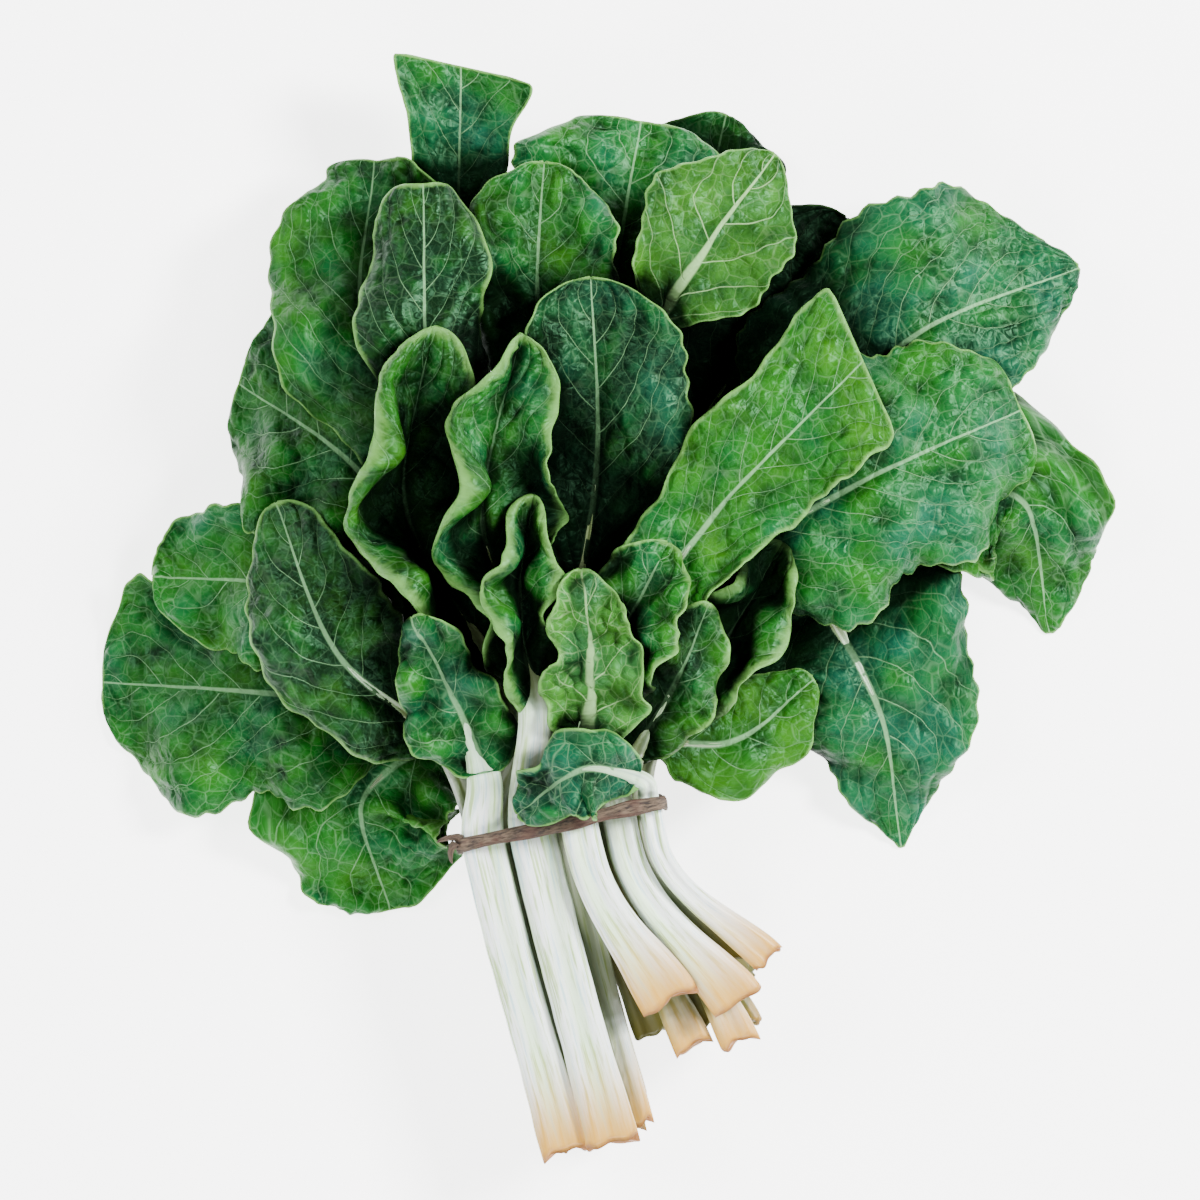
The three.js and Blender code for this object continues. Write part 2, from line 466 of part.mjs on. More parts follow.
// A blade with an upper and a lower skin, split into triangles alike, and a narrow wall along the margin.
function bladeGeometry(leaf, spine, points) {
  const at = (i, j) => points[clamp(i, 0, BLADE_ROWS) * columns + clamp(j, 0, BLADE_COLUMNS)];
  const upper = [];
  const lower = [];
  for (let i = 0; i < bladeRows; i++) {
    for (let j = 0; j < columns; j++) {
      const forward = at(i + 1, j).clone().sub(at(i - 1, j));
      const right = at(i, j + 1).clone().sub(at(i, j - 1));
      const normal = i === 0 ? frameAt(leaf, spine, spine.base).face : right.cross(forward).normalize();
      const rib = ribHeight(leaf, alongBlade(i), (2 * j) / BLADE_COLUMNS - 1);
      upper.push(at(i, j).clone().addScaledVector(normal, BLADE_THICKNESS / 2));
      lower.push(at(i, j).clone().addScaledVector(normal, -BLADE_THICKNESS / 2 - rib));
    }
  }
  const count = upper.length;
  const indices = [];
  for (let i = 0; i < BLADE_ROWS; i++) {
    for (let j = 0; j < BLADE_COLUMNS; j++) {
      const near = i * columns + j;
      const far = near + columns;
      indices.push(near, near + 1, far, near + 1, far + 1, far);
      indices.push(near + count, far + count, near + 1 + count);
      indices.push(near + 1 + count, far + count, far + 1 + count);
    }
  }
  const rim = [];
  for (let j = 0; j < BLADE_COLUMNS; j++) rim.push(j);
  for (let i = 0; i < BLADE_ROWS; i++) rim.push(i * columns + BLADE_COLUMNS);
  for (let j = BLADE_COLUMNS; j > 0; j--) rim.push(BLADE_ROWS * columns + j);
  for (let i = BLADE_ROWS; i > 0; i--) rim.push(i * columns);
  rim.forEach((here, k) => {
    const next = rim[(k + 1) % rim.length];
    indices.push(here, here + count, next, next, here + count, next + count);
  });
  return meshOf([...upper, ...lower], indices);
}

// The stalk's section, as shares of its half width and half thickness: round below, with a groove above.
const SECTION = [[1, 0.1], [0.62, 0.9], [0, 0.55], [-0.62, 0.9], [-1, 0.1], [-0.72, -0.72], [0, -1], [0.72, -0.72]];

function stalkGeometry(leaf, spine, stalkLift) {
  const sides = SECTION.length;
  const positions = [];
  for (let i = 0; i < stalkRows; i++) {
    const s = stationOfRing(spine, i);
    const { centre, right, face } = frameAt(leaf, spine, s);
    const { halfWidth, halfThickness } = stalkSection(leaf, spine, s);
    centre.z += stalkLift[i * columns];
    for (const [x, z] of SECTION) {
      const corner = centre.clone().addScaledVector(right, x * halfWidth);
      positions.push(corner.addScaledVector(face, z * halfThickness));
    }
  }
  const indices = [];
  for (let i = 0; i < stalkRows - 1; i++) {
    for (let j = 0; j < sides; j++) {
      const here = i * sides + j;
      const next = i * sides + ((j + 1) % sides);
      indices.push(here, here + sides, next, next, here + sides, next + sides);
    }
  }
  const top = (stalkRows - 1) * sides;
  for (let j = 1; j < sides - 1; j++) {
    indices.push(0, j, j + 1);
    indices.push(top, top + j + 1, top + j);
  }
  return { geometry: meshOf(positions, indices), positions };
}

// Where the walls of a stalk pass near the middle of the tie, in the tie's plane.
function crossingPoints(positions) {
  const sides = SECTION.length;
  const found = [];
  for (let k = 0; k + sides < positions.length; k++) {
    for (let t = 0; t <= 1; t += 0.05) {
      const p = positions[k].clone().lerp(positions[k + sides], t);
      if (Math.abs(p.dot(along)) < 0.8 * TIE_WIDTH) found.push([p.dot(across), p.z]);
    }
  }
  return found;
}

// The band round the stalks. At each angle its wall stands off the stalk that reaches furthest that way.
function tieGeometry(stalkPoints) {
  const angles = 30;
  const step = (2 * Math.PI) / angles;
  const floor = (TIE_GAP + TIE_THICKNESS) * Math.cos(step / 2);
  const outline = [...stalkPoints, [-TIE_FLAT / 2, floor], [TIE_FLAT / 2, floor]];
  const positions = [];
  for (let k = 0; k < angles; k++) {
    const turn = -Math.PI / 2 + (k + 0.5) * step;
    const [nx, nz] = [Math.cos(turn), Math.sin(turn)];
    const reach = ([x, z]) => x * nx + z * nz;
    const furthest = outline.reduce((best, p) => (reach(p) > reach(best) ? p : best));
    for (const away of [TIE_GAP, TIE_GAP + TIE_THICKNESS]) {
      for (const edge of [-TIE_WIDTH / 2, TIE_WIDTH / 2]) {
        const place = across.clone().multiplyScalar(furthest[0] + away * nx).addScaledVector(along, edge);
        positions.push(place.setZ(furthest[1] + away * nz));
      }
    }
  }
  const indices = [];
  for (let k = 0; k < angles; k++) {
    const [a, b] = [k * 4, ((k + 1) % angles) * 4];
    for (const [p, q] of [[0, 2], [2, 3], [3, 1], [1, 0]]) {
      indices.push(a + p, a + q, b + p, b + p, a + q, b + q);
    }
  }
  return meshOf(positions, indices);
}

// Materials.
const BLADE = { roughness: 0.45, metalness: 0 };
const greens = { deep: 0x1f5226, middle: 0x2f6b2c, bright: 0x4f8f35, pale: 0x86a860 };
const TONES = {
  right_dark: "deep", centre_dark: "deep", cup_inner: "deep",
  diagonal: "bright", left_front: "bright", right_far: "bright", low_right: "bright", dome: "bright",
  top_pale: "pale", front_pale: "pale",
};
const stalkMaterial = new THREE.MeshStandardMaterial({ color: 0xe4ead6, roughness: 0.4, metalness: 0 });
const tieMaterial = new THREE.MeshStandardMaterial({ color: 0x6b5844, roughness: 0.7, metalness: 0 });

function namedMesh(name, geometry, material) {
  const mesh = new THREE.Mesh(geometry, material);
  mesh.name = name;
  return mesh;
}

const bunch = new THREE.Group();
const stalkPoints = [];
LEAVES.forEach((leaf, index) => {
  const spine = spineOf(leaf, index);
  const { points, stalkLift } = layLeaf(leaf, spine);
  const color = greens[TONES[leaf.name] ?? "middle"];
  const blade = new THREE.MeshStandardMaterial({ ...BLADE, color });
  bunch.add(namedMesh(`${leaf.name}_blade`, bladeGeometry(leaf, spine, points), blade));
  const { geometry, positions } = stalkGeometry(leaf, spine, stalkLift);
  bunch.add(namedMesh(`${leaf.name}_stalk`, geometry, stalkMaterial));
  stalkPoints.push(...crossingPoints(positions));
});
bunch.add(namedMesh("tie", tieGeometry(stalkPoints), tieMaterial));

export default bunch;
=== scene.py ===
# %% [markdown]
# # A tied bunch of leafy greens
#
# The bunch lies on a table and is seen from straight above: broad, crinkled green leaves with pale veins,
# white ribbed stalks and a narrow brown tie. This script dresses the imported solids. Every leaf is a thin
# sheet worked out on a grid of numbers, laid on the leaves below it, then given its veins, puckers and
# frilled margin.

import math  # angles of single values
from functools import partial  # fills in a function's first value once

import bpy  # Blender itself
import numpy as np  # whole grids of points at once
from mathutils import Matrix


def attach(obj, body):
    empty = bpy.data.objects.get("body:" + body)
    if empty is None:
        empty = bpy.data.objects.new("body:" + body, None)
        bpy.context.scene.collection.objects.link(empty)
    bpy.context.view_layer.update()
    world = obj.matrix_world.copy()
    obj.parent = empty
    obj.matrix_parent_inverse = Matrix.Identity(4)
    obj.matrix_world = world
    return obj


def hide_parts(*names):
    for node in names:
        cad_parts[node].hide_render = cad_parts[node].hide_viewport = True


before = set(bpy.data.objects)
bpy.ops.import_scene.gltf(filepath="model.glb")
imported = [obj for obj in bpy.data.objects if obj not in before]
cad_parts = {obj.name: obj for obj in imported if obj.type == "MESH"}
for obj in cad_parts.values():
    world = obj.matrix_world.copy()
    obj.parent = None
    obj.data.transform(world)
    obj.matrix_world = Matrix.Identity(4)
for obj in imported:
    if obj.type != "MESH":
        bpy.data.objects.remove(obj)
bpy.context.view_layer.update()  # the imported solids, in their shared frame
MM = 0.001
UV_MM = 200  # millimetres in one unit of a surface map

# %% [markdown]
# ## The leaves' own measures
#
# A leaf is described by few numbers: where its midrib runs, how wide it is and how its two halves turn.
# These are the values that the solids were made from, in millimetres and degrees, so each fine leaf lies
# where its solid lies. Some are for the looks: tone goes from 0 for deep green to 1 for light green, hue
# from -1 for bluish to 1 for yellowish, crumple scales the puckers, rim the pale margin, which is partly a
# painted highlight, and gloom the painted shade between the leaves.

# %% Measures of the bunch
BLADE_THICKNESS = 0.9
LEAF_GAP = 0.6
TIE_WIDTH = 5
TIE_THICKNESS = 1.6
TIE_GAP = 0.4
TIE_FLAT = 44
ROOM_OVER_TIE = 4
BUNDLE_HALF_WIDTH = 31
BUNDLE_LEAN = math.radians(12.5)
EDGE_OF_LOWEST = 8  # the lowest layer keeps this far from both ends of the bundle
LOWEST_MIDDLE = 5
SPLAYED_FROM = 5  # stalks further right than this spread out below the tie
BELOW_TIE, BELOW_TIE_INNER, BELOW_TIE_SPLAYED = 91, 74, 61
STRAIGHT_STRETCH = 14
STALK_THICKNESS = 5.2
RIB_HEIGHT = 3.2
RIB_HALF_WIDTH = 3.4
MARGIN_START = 0.72

ALONG = np.array([-math.sin(BUNDLE_LEAN), math.cos(BUNDLE_LEAN), 0])
ACROSS = np.array([math.cos(BUNDLE_LEAN), math.sin(BUNDLE_LEAN), 0])

# FIELDS names what every leaf has, in order. What only some have follows by name.
FIELDS = "name layer stalk base middle tip half peak fold curl roll wave tone hue".split()
ROWS = [
    ("lower_left", 0, 8, (-31, 24, 12), (-59, 8, 14), (-52, -27, 1), 28, 0.5, (6, 4), (10, -12), (20, -30),
     (5, 3.3, 2.2), 0.85, 0.1, dict(square=6, bumps=((0, 0.84, 0.35, 0.08), (1, 0.6, 0.12, 0.15)),
     crumple=1.7, gloom=0.5)),
    ("left_low", 0, 8, (-38, 32, 16), (-80, 38, 20), (-139, 42, -3), 34, 0.56, (4, 4), (-20, 14), (-30, 20),
     (5, 2.5, 0.4), 0.55, 0.0, dict(heart=0.3, square=7,
     bumps=((1, 0.62, -0.22, 0.1), (1, 0.88, 0.42, 0.08), (0, 0.8, 0.28, 0.12)), crumple=1.3, gloom=0.7)),
    ("right_low", 0, 9, (73, 70, 20), (94, 38, 20), (103, -8, -3), 33, 0.34, (8, 8), (-18, -14), (-20, -20),
     (3, 2.5, 1), 0.65, -0.6, dict(blunt=(0.3, 1), heart=0.5,
     bumps=((1, 0.13, 0.6, 0.17), (1, 0.55, -0.1, 0.12), (0, 0.38, 0.09, 0.3)), crumple=1.2)),
    ("right_far", 0, 9, (104, 92, 16), (135, 99, 20), (148, 57, -2), 27, 0.42, (6, 6), (-12, -26), (-30, -30),
     (5, 3, 0.2), 0.65, 0.1, dict(blunt=(0.5, 0.9),
     bumps=((1, 0.5, -0.25, 0.1), (0, 0.22, 0.3, 0.1), (0, 0.6, -0.08, 0.12), (0, 0.82, 0.14, 0.08)),
     crumple=1.7, gloom=0.7)),
    ("top_back", 0, 8, (22, 130, 12), (40, 174, 16), (50, 214, -2), 25, 0.62, (6, 6), (8, -20), (20, -40),
     (5, 3.5, 1.3), 0.45, 0.0, dict(bumps=((0, 0.8, 0.25, 0.08),), crumple=1.4)),
    ("left_middle", 1, 8, (-42, 50, 26), (-81, 70, 30), (-123, 74, 8), 24, 0.6, (6, 6), (-16, 10), (-30, 30),
     (5, 3, 1.1), 0.85, 0.1, dict(bumps=((1, 0.7, 0.02, 0.1), (1, 0.9, 0.2, 0.06)), crumple=1.5, gloom=0.5)),
    ("top_tall", 1, 9, (-19, 105, 22), (-30, 170, 26), (-30, 227, 32), 12, 0.8, (6, 6), (14, 10), (10, 20),
     (1.5, 2, 0.6), 0.5, -0.5, dict(blunt=(0.9, 0.3), square=17, slant=-0.22,
     bumps=((1, 0.62, 0.3, 0.12), (0, 0.55, -0.2, 0.15)))),
    ("top_middle_back", 1, 9, (9, 120, 22), (17, 170, 30), (24, 211, 20), 33, 0.68, (6, 6), (-14, -14),
     (-20, -30), (5, 3, 0.9), 0.68, -0.2, dict(blunt=(0.8, 0.5), square=8,
     bumps=((0, 0.86, 0.2, 0.06), (1, 0.85, 0.25, 0.08)), crumple=1.4, gloom=0.5)),
    # right_dark lies in shadow, so its tone below 0 is painted shade.
    ("right_dark", 1, 8, (28, 92, 22), (57, 143, 24), (86, 182, 18), 30, 0.62, (8, 8), (10, 10), (20, 10),
     (4, 2.5, 3), -0.1, -0.3, dict()),
    ("right_top", 1, 9, (66, 104, 26), (106, 146, 32), (156, 167, 18), 41, 0.5, (8, 8), (-12, -24),
     (-14, -34), (4, 2.5, 1.7), 0.5, -0.5, dict(blunt=(0.62, 0.8), heart=0.2,
     bumps=((0, 0.74, 0.2, 0.08), (0, 0.48, -0.13, 0.1), (1, 0.76, -0.24, 0.12)), crumple=1.2)),
    ("left", 2, 8, (-36, 72, 32), (-63, 108, 40), (-97, 132, 20), 32, 0.6, (8, 8), (-20, 12), (-30, 20),
     (5, 2.5, 0.3), 0.42, 0.2, dict(square=7, slant=0.3, bumps=((0, 0.75, 0.1, 0.1), (1, 0.84, 0.45, 0.09)),
     gloom=0.6)),
    ("upper_left", 2, 8, (-32, 96, 32), (-59, 146, 38), (-56, 199, 22), 27, 0.6, (10, 10), (-20, 16),
     (-20, 30), (5, 3, 2), 0.5, 0.1, dict(square=8,
     bumps=((0, 0.8, 0.12, 0.07), (0, 0.93, -0.3, 0.05), (1, 0.9, 0.2, 0.08)), gloom=0.8)),
    ("top_middle", 2, 8, (-1, 112, 34), (-7, 158, 40), (-5, 198, 38), 25, 0.66, (14, 12), (26, 12),
     (-70, -30), (5, 3, 0.1), 0.5, 0.2, dict(crumple=1.3, gloom=0.8)),
    ("top_pale", 2, 7, (27, 146, 44), (42, 170, 50), (64, 200, 46), 23, 0.55, (-4, -4), (-10, -16), (0, 0),
     (2.5, 2, 1.1), 0.35, 0.5, dict(blunt=(1, 0.8), over=True, crumple=0.6)),
    ("right_middle", 2, 9, (40, 70, 36), (86, 100, 44), (138, 124, 24), 36, 0.56, (8, 8), (-10, -24),
     (-20, -40), (5, 3, 0.6), 0.7, -0.3, dict(heart=0.2, square=10,
     bumps=((1, 0.33, 0.25, 0.09), (1, 0.5, -0.15, 0.07)), crumple=1.3, gloom=0.7)),
    ("low_right", 2, 7, (28, 23, 30), (50, 24, 28), (76, 43, 16), 16, 0.5, (10, 10), (-20, -30), (-20, -20),
     (3, 2.5, 2.3), 0.65, 0.8, dict(heart=0, gloom=0.6)),
    ("left_front", 3, 8, (-35, 22, 34), (-66, 50, 44), (-85, 96, 40), 22, 0.5, (6, 6), (-22, 16), (-40, 20),
     (4, 2.5, 2.4), 0.1, 0.4, dict(rim=0.4, crumple=0.7)),
    ("dome", 3, 8, (-16, 66, 42), (-38, 128, 52), (-41, 191, 50), 19, 0.7, (8, 8), (-40, -26), (-20, -40),
     (5, 2.7, 0.2), -0.02, 0.15, dict(square=6, rim=0.4, crumple=0.8)),
    ("cup_outer", 3, 9, (-17, 40, 40), (-46, 94, 42), (-38, 148, 54), 29, 0.56, (58, 20), (26, 10), (-120, 0),
     (8, 2.6, 0.5), 0.4, 0.3, dict(blunt=(0.5, 0.5), rim=1)),
    ("centre_dark", 3, 8, (5, 56, 40), (11, 112, 42), (9, 163, 52), 29, 0.66, (10, 10), (14, 8), (20, -20),
     (4, 2, 1.9), 0.12, -0.4, dict(blunt=(0.7, 0.5), crumple=0.8)),
    ("right_front", 3, 8, (30, 30, 38), (50, 56, 42), (66, 84, 40), 18, 0.55, (48, 34), (24, 20), (-60, -60),
     (5, 2.5, 0.8), 0.4, 0.1, dict(rim=1)),
    ("cup_inner", 4, 9, (-8, 38, 46), (-23, 90, 50), (-12, 146, 60), 24, 0.56, (60, 24), (24, 10), (-110, 0),
     (8, 2.8, 1.6), 0.55, 0.0, dict(blunt=(0.5, 0.5), rim=1)),
    ("diagonal", 4, 10, (10, 38, 44), (44, 90, 56), (90, 138, 58), 20, 0.66, (10, 10), (-20, 12), (-10, 10),
     (4, 2.5, 0.9), 0.7, 0.3, dict(blunt=(0.55, 0.42), square=19, slant=-0.4, bumps=((1, 0.55, -0.18, 0.06),),
     rim=0.4, crumple=1.3, gloom=0.3)),
    ("right_inner", 4, 8, (22, 20, 42), (34, 42, 48), (44, 66, 44), 13, 0.5, (34, 8), (20, -20), (-60, -20),
     (4, 2.5, 1.6), 0.4, 0.4, dict(rim=0.4, crumple=1.3)),
    ("front_left", 5, 14, (-23, 15, 46), (-32, 38, 54), (-44, 62, 50), 14, 0.5, (6, 14), (-24, 20),
     (-10, -40), (4, 2.5, 1.1), 0.65, -0.3, dict(bumps=((0, 0.4, 0.3, 0.1), (1, 0.6, -0.3, 0.1)),
     crumple=1.7)),
    ("cup_small", 5, 15, (-7, 34, 48), (-12, 64, 52), (-8, 98, 60), 15, 0.62, (54, 50), (14, 14), (-60, -60),
     (5, 2.5, 0.2), 0.4, 0.0, dict(rim=1)),
    ("front_crumpled", 5, 11, (14, 30, 46), (18, 54, 56), (32, 84, 58), 16, 0.6, (8, 18), (-20, 30), (0, -60),
     (5, 3, 0.3), 0.65, 0.1, dict(bumps=((0, 0.5, -0.25, 0.1),), rim=0.4, crumple=2)),
    ("front_pale", 5, 12, (8, 22, 44), (9, 48, 52), (6, 76, 52), 14, 0.5, (-4, -4), (-16, -16), (0, 0),
     (3, 3, 1.4), 0.7, -0.1, dict(over=True, bumps=((0, 0.3, 0.3, 0.1), (1, 0.6, -0.3, 0.1)), rim=0.4,
     crumple=2)),
    ("tucked", 5, 7, (23, 14, 50), (9, 17, 52), (-13, 3, 44), 12, 0.5, (10, 10), (-20, -26), (0, 0),
     (3, 3, 0.4), 0.45, -0.8, dict(heart=0, bumps=((0, 0.4, 0.3, 0.1), (1, 0.65, -0.3, 0.08)), crumple=2)),
]
LEAVES = [dict(zip(FIELDS, row)) | row[-1] for row in ROWS]
print(len(LEAVES), "leaves")

# %% [markdown]
# ## The midrib's path
#
# A leaf hangs on one smooth line: from the cut end of its stalk, through the tie, to the base of the blade
# and along the midrib to the tip. A cubic through six points is enough. Frames along it say which way is
# forward, which is right and which way the leaf faces. The stalk of a leaf that lies face down is twisted
# by half a turn.


# %% Small helpers
def draw(n):
    """A repeatable draw from 0 to 1 for a whole number: the fraction of a large multiple of a sine."""
    x = math.sin(n * 12.9898 + 4.1414) * 43758.5453
    return x - math.floor(x)


def mix(a, b, t):
    """The straight blend from a at t = 0 to b at t = 1."""
    return a + (b - a) * t


def smooth(t):
    """The soft step 3t^2 - 2t^3, held at 0 and 1 outside."""
    t = np.clip(t, 0, 1)
    return t * t * (3 - 2 * t)


def unit(vectors):
    """Each vector divided by its length."""
    return vectors / np.linalg.norm(vectors, axis=-1, keepdims=True)


print("three draws:", [round(draw(n), 3) for n in range(3)])


# %% The line through six points, and its frames
def smooth_curve(points):
    """A cubic on each chord, with the chords' mean slope at a point, the shorter chord counting more."""
    p = np.array(points, float)
    length = np.linalg.norm(np.diff(p, axis=0), axis=1)
    knots = np.r_[0, np.cumsum(length)]
    chord = np.diff(p, axis=0) / length[:, None]
    before, after = length[:-1, None], length[1:, None]
    inner = (chord[:-1] * after + chord[1:] * before) / (before + after)
    slope = np.vstack([chord[:1], inner, chord[-1:]])

    def at(s):
        i = np.clip(np.searchsorted(knots, s) - 1, 0, len(length) - 1)
        h = length[i][:, None]
        t = (s - knots[i])[:, None] / h
        ends = p[i] * (1 + 2 * t) * (1 - t) ** 2 + p[i + 1] * t * t * (3 - 2 * t)
        return ends + h * (slope[i] * t * (1 - t) ** 2 + slope[i + 1] * t * t * (t - 1))

    return knots, at


def slot_of(leaf):
    """How far across the tie the stalk passes: a layer's stalks lie side by side, by their bearings."""
    def bearing(other):
        return math.atan2(np.dot(other["base"], ACROSS), np.dot(other["base"], ALONG))

    layer = sorted((other for other in LEAVES if other["layer"] == leaf["layer"]), key=bearing)
    room = 2 * (BUNDLE_HALF_WIDTH - (EDGE_OF_LOWEST if leaf["layer"] == 0 else 0))
    spare = (room - sum(other["stalk"] for other in layer)) / len(layer)
    before = sum(other["stalk"] + spare for other in layer[:layer.index(leaf)])
    return before + (leaf["stalk"] + spare) / 2 - room / 2


def lay_out(leaf, index):
    """Gives the leaf its line and where the tie, the blade's base and its tip are on it."""
    slot = slot_of(leaf)
    tie_point = ACROSS * slot + np.array([0, 0, LOWEST_MIDDLE + leaf["layer"] * STALK_THICKNESS])
    splayed = slot > SPLAYED_FROM
    inner = splayed and leaf["layer"] in (2, 3)
    degrees = (6 + 0.2 * slot if inner else 11 + 0.5 * slot) if splayed else 1 - 0.09 * slot
    turn = math.radians(degrees + 2 * (draw(index) - 0.5))
    straight = BELOW_TIE_INNER if inner else BELOW_TIE_SPLAYED if splayed else BELOW_TIE
    length = straight + 14 * (draw(index + 50) - 0.5)
    end = tie_point - ALONG * math.cos(turn) * length + ACROSS * math.sin(turn) * length
    end[2] = tie_point[2] * 0.8
    below = tie_point - ALONG * STRAIGHT_STRETCH
    points = [end, below, tie_point, leaf["base"], leaf["middle"], leaf["tip"]]
    knots, leaf["at"] = smooth_curve(points)
    leaf["tie_s"], leaf["base_s"], leaf["tip_s"] = knots[2], knots[3], knots[5]
    leaf["splayed"], leaf["inner"] = splayed, float(inner)


def frames(leaf, s):
    """Place, forward, right and face along the line; facing turns over by half a turn where over is set."""
    at = leaf["at"]
    forward = unit(at(np.minimum(s + 0.5, leaf["tip_s"])) - at(np.maximum(s - 0.5, 0)))
    to_base = (s - leaf["tie_s"]) / (leaf["base_s"] - leaf["tie_s"])
    turn = math.pi * smooth(to_base) if leaf.get("over") else 0 * s
    facing = np.stack([np.sin(turn), 0 * s, np.cos(turn)], axis=-1)
    right = unit(np.cross(forward, facing))
    return at(s), forward, right, np.cross(right, forward)


for number, each in enumerate(LEAVES):
    lay_out(each, number)
print("longest leaf:", round(max(each["tip_s"] for each in LEAVES)), "mm")

# %% [markdown]
# ## The blade and the stalk as surfaces
#
# A blade is a function of two numbers: u runs from its base to its tip and v from the left margin to the
# right one. Its cross-section is two arcs on each side, one for the half blade and one for the rolled
# margin, so a flat leaf, a drooping one and a folded cup all come from one formula. The margin ripples on
# top of that.


# %% The blade's formula
def along_blade(t):
    """Rows lie closer near the base and the tip: t less about a twelfth of one full sine wave."""
    return t - 0.5 * np.sin(2 * math.pi * t) / (2 * math.pi)


def half_width(leaf, u, side):
    """A stretched sine to a power, so the leaf is widest at its peak, with a few lobes along the margin."""
    at_base, at_tip = leaf.get("blunt", (0.62, 0.55))
    swell = np.maximum(np.sin(math.pi * u ** (math.log(0.5) / math.log(leaf["peak"]))), 0)
    count, phase = leaf["wave"][1] + 0.7, leaf["wave"][2] * 2
    lobes = 1 + 0.07 * np.sin(2 * math.pi * count * u + phase + side * 1.7)
    for on_side, place, amount, reach in leaf.get("bumps", ()):
        lobes = lobes + amount * np.exp(-(((u - place) / reach) ** 2)) * (side == on_side)
    wide = leaf["half"] * lobes * swell ** np.where(u < leaf["peak"], at_base, at_tip)
    return leaf["stalk"] * 0.36 * (1 - u) ** 2 + wide + leaf.get("square", 1) * u**8


def arc_end(length, start, turn):
    """The end of an arc: its chord points its middle way and is shorter by sin(x)/x, with x half its turn."""
    chord = length * np.sinc(turn / (2 * math.pi))
    return chord * np.cos(start + turn / 2), chord * np.sin(start + turn / 2)


def blade_surface(leaf, u, v, frill=0.0):
    """The blade's middle surface and its half width: two arcs and ripples a side; frill sets fine waves."""
    centre, forward, right, face = (a[:, None] for a in frames(leaf, mix(leaf["base_s"], leaf["tip_s"], u)))
    u, v = u[:, None], v[None, :]
    side = (v >= 0).astype(int)
    fold, curl, roll = (np.radians(np.array(leaf[key]))[side] for key in ("fold", "curl", "roll"))
    opened = np.minimum(1, u / 0.25)
    width = half_width(leaf, u, side)
    width = width * (1 + 0.02 * frill * np.sin(u * leaf["half"] * 3.1 + 4 * side + leaf["half"]))
    inner = np.minimum(abs(v), MARGIN_START)
    outer = np.maximum(abs(v) - MARGIN_START, 0)
    start, curl, roll = fold * opened, curl * opened * inner, roll * opened * outer / (1 - MARGIN_START)
    x1, z1 = arc_end(width * inner, start, curl)
    x2, z2 = arc_end(width * outer, start + curl, roll)
    lean = start + curl + 0.4 * roll
    height, count, phase = leaf["wave"]
    swing = np.sin(2 * math.pi * count * u + phase + np.where(side == 1, 0, 2.1))
    ripple = height * swing * abs(v) ** 1.8 * (0.3 + 0.7 * np.sin(math.pi * u)) * opened
    heave = np.sin(2 * math.pi * (0.8 * count + 0.9) * u + 1.3 * phase + 2 * side)
    ripple = ripple + 1.3 * height * heave * abs(v) * (1 - v * v) * np.sin(math.pi * u) * opened
    length = leaf["tip_s"] - leaf["base_s"]
    fine = np.sin(u * length / 1.7 + 3 * side + 2 * np.sin(u * 17 + side)) * abs(v) ** 9 * np.sin(math.pi * u)
    ripple = ripple + frill * 0.9 * fine
    x = x1 + x2 - ripple * np.sin(lean)
    z = z1 + z2 + ripple * np.cos(lean)
    back = leaf.get("heart", 0.12) * opened * width * v * v * (1 - u) ** 2
    sign = np.where(side == 1, 1, -1)
    back = back - leaf.get("slant", 0) * sign * width * abs(v) * u**4
    points = centre + right * (sign * x)[..., None] + face * z[..., None] - forward * back[..., None]
    return points, width


def rib_height(u, v, width):
    """The midrib under the blade: a bell across it that fades to the tip."""
    return RIB_HEIGHT * (1 - u[:, None]) ** 1.3 * np.exp(-((v[None, :] * width / RIB_HALF_WIDTH) ** 2))


print("an arc of 10 that turns by a right angle ends at", np.round(arc_end(10, 0, math.pi / 2), 2))


# %% The stalk's formula
def stalk_section(leaf, s):
    """Half width and half thickness along the stalk: flared at the cut end, narrower towards the blade."""
    from_end = np.exp(-((s / 20) ** 2))
    to_base = np.clip((s - leaf["tie_s"]) / (leaf["base_s"] - leaf["tie_s"]), 0, 1)
    flare = 0.3 if leaf["splayed"] else 0.08
    half = leaf["stalk"] * (0.46 + flare * from_end) * mix(1, 0.78, to_base)
    return half, STALK_THICKNESS / 2 * mix(1, 0.72, to_base) * (1 - 0.25 * from_end)


def stalk_stations(leaf, t):
    """Where the stalk's rows are, for t from 0 at the cut end through 1 at the tie to 2 at the blade."""
    return np.where(t < 1, leaf["tie_s"] * t, mix(leaf["tie_s"], leaf["base_s"] - 0.3, t - 1))


print("the first stalk is", np.round(2 * stalk_section(LEAVES[0], np.array([0.0, 60]))[0], 1), "mm wide")

# %% [markdown]
# ## Laying the leaves on one another
#
# A real bunch has no two leaves in one place, and thirty sheets placed by eye would cut through each other.
# So the leaves are laid down one by one from the lowest, on a height map of the pile. Each is lifted just
# enough to clear the map, the lift is spread smoothly over the leaf, and then its upper side is added to
# the map.

# %% The height map
CELL = 0.8
MAP_LOW = np.array([-180.0, -130.0])
MAP_SHAPE = (490, 460)
ROWS_PER_PART = 12
BLADE_ROWS = 39
COLUMNS = 19
STEPS = 5
SPREAD_PASSES = 216


def near_tie(x, y):
    """True for places under or over the tie."""
    by = abs(x * ALONG[0] + y * ALONG[1]) < TIE_WIDTH
    return by & (abs(x * ACROSS[0] + y * ACROSS[1]) < BUNDLE_HALF_WIDTH + 7)


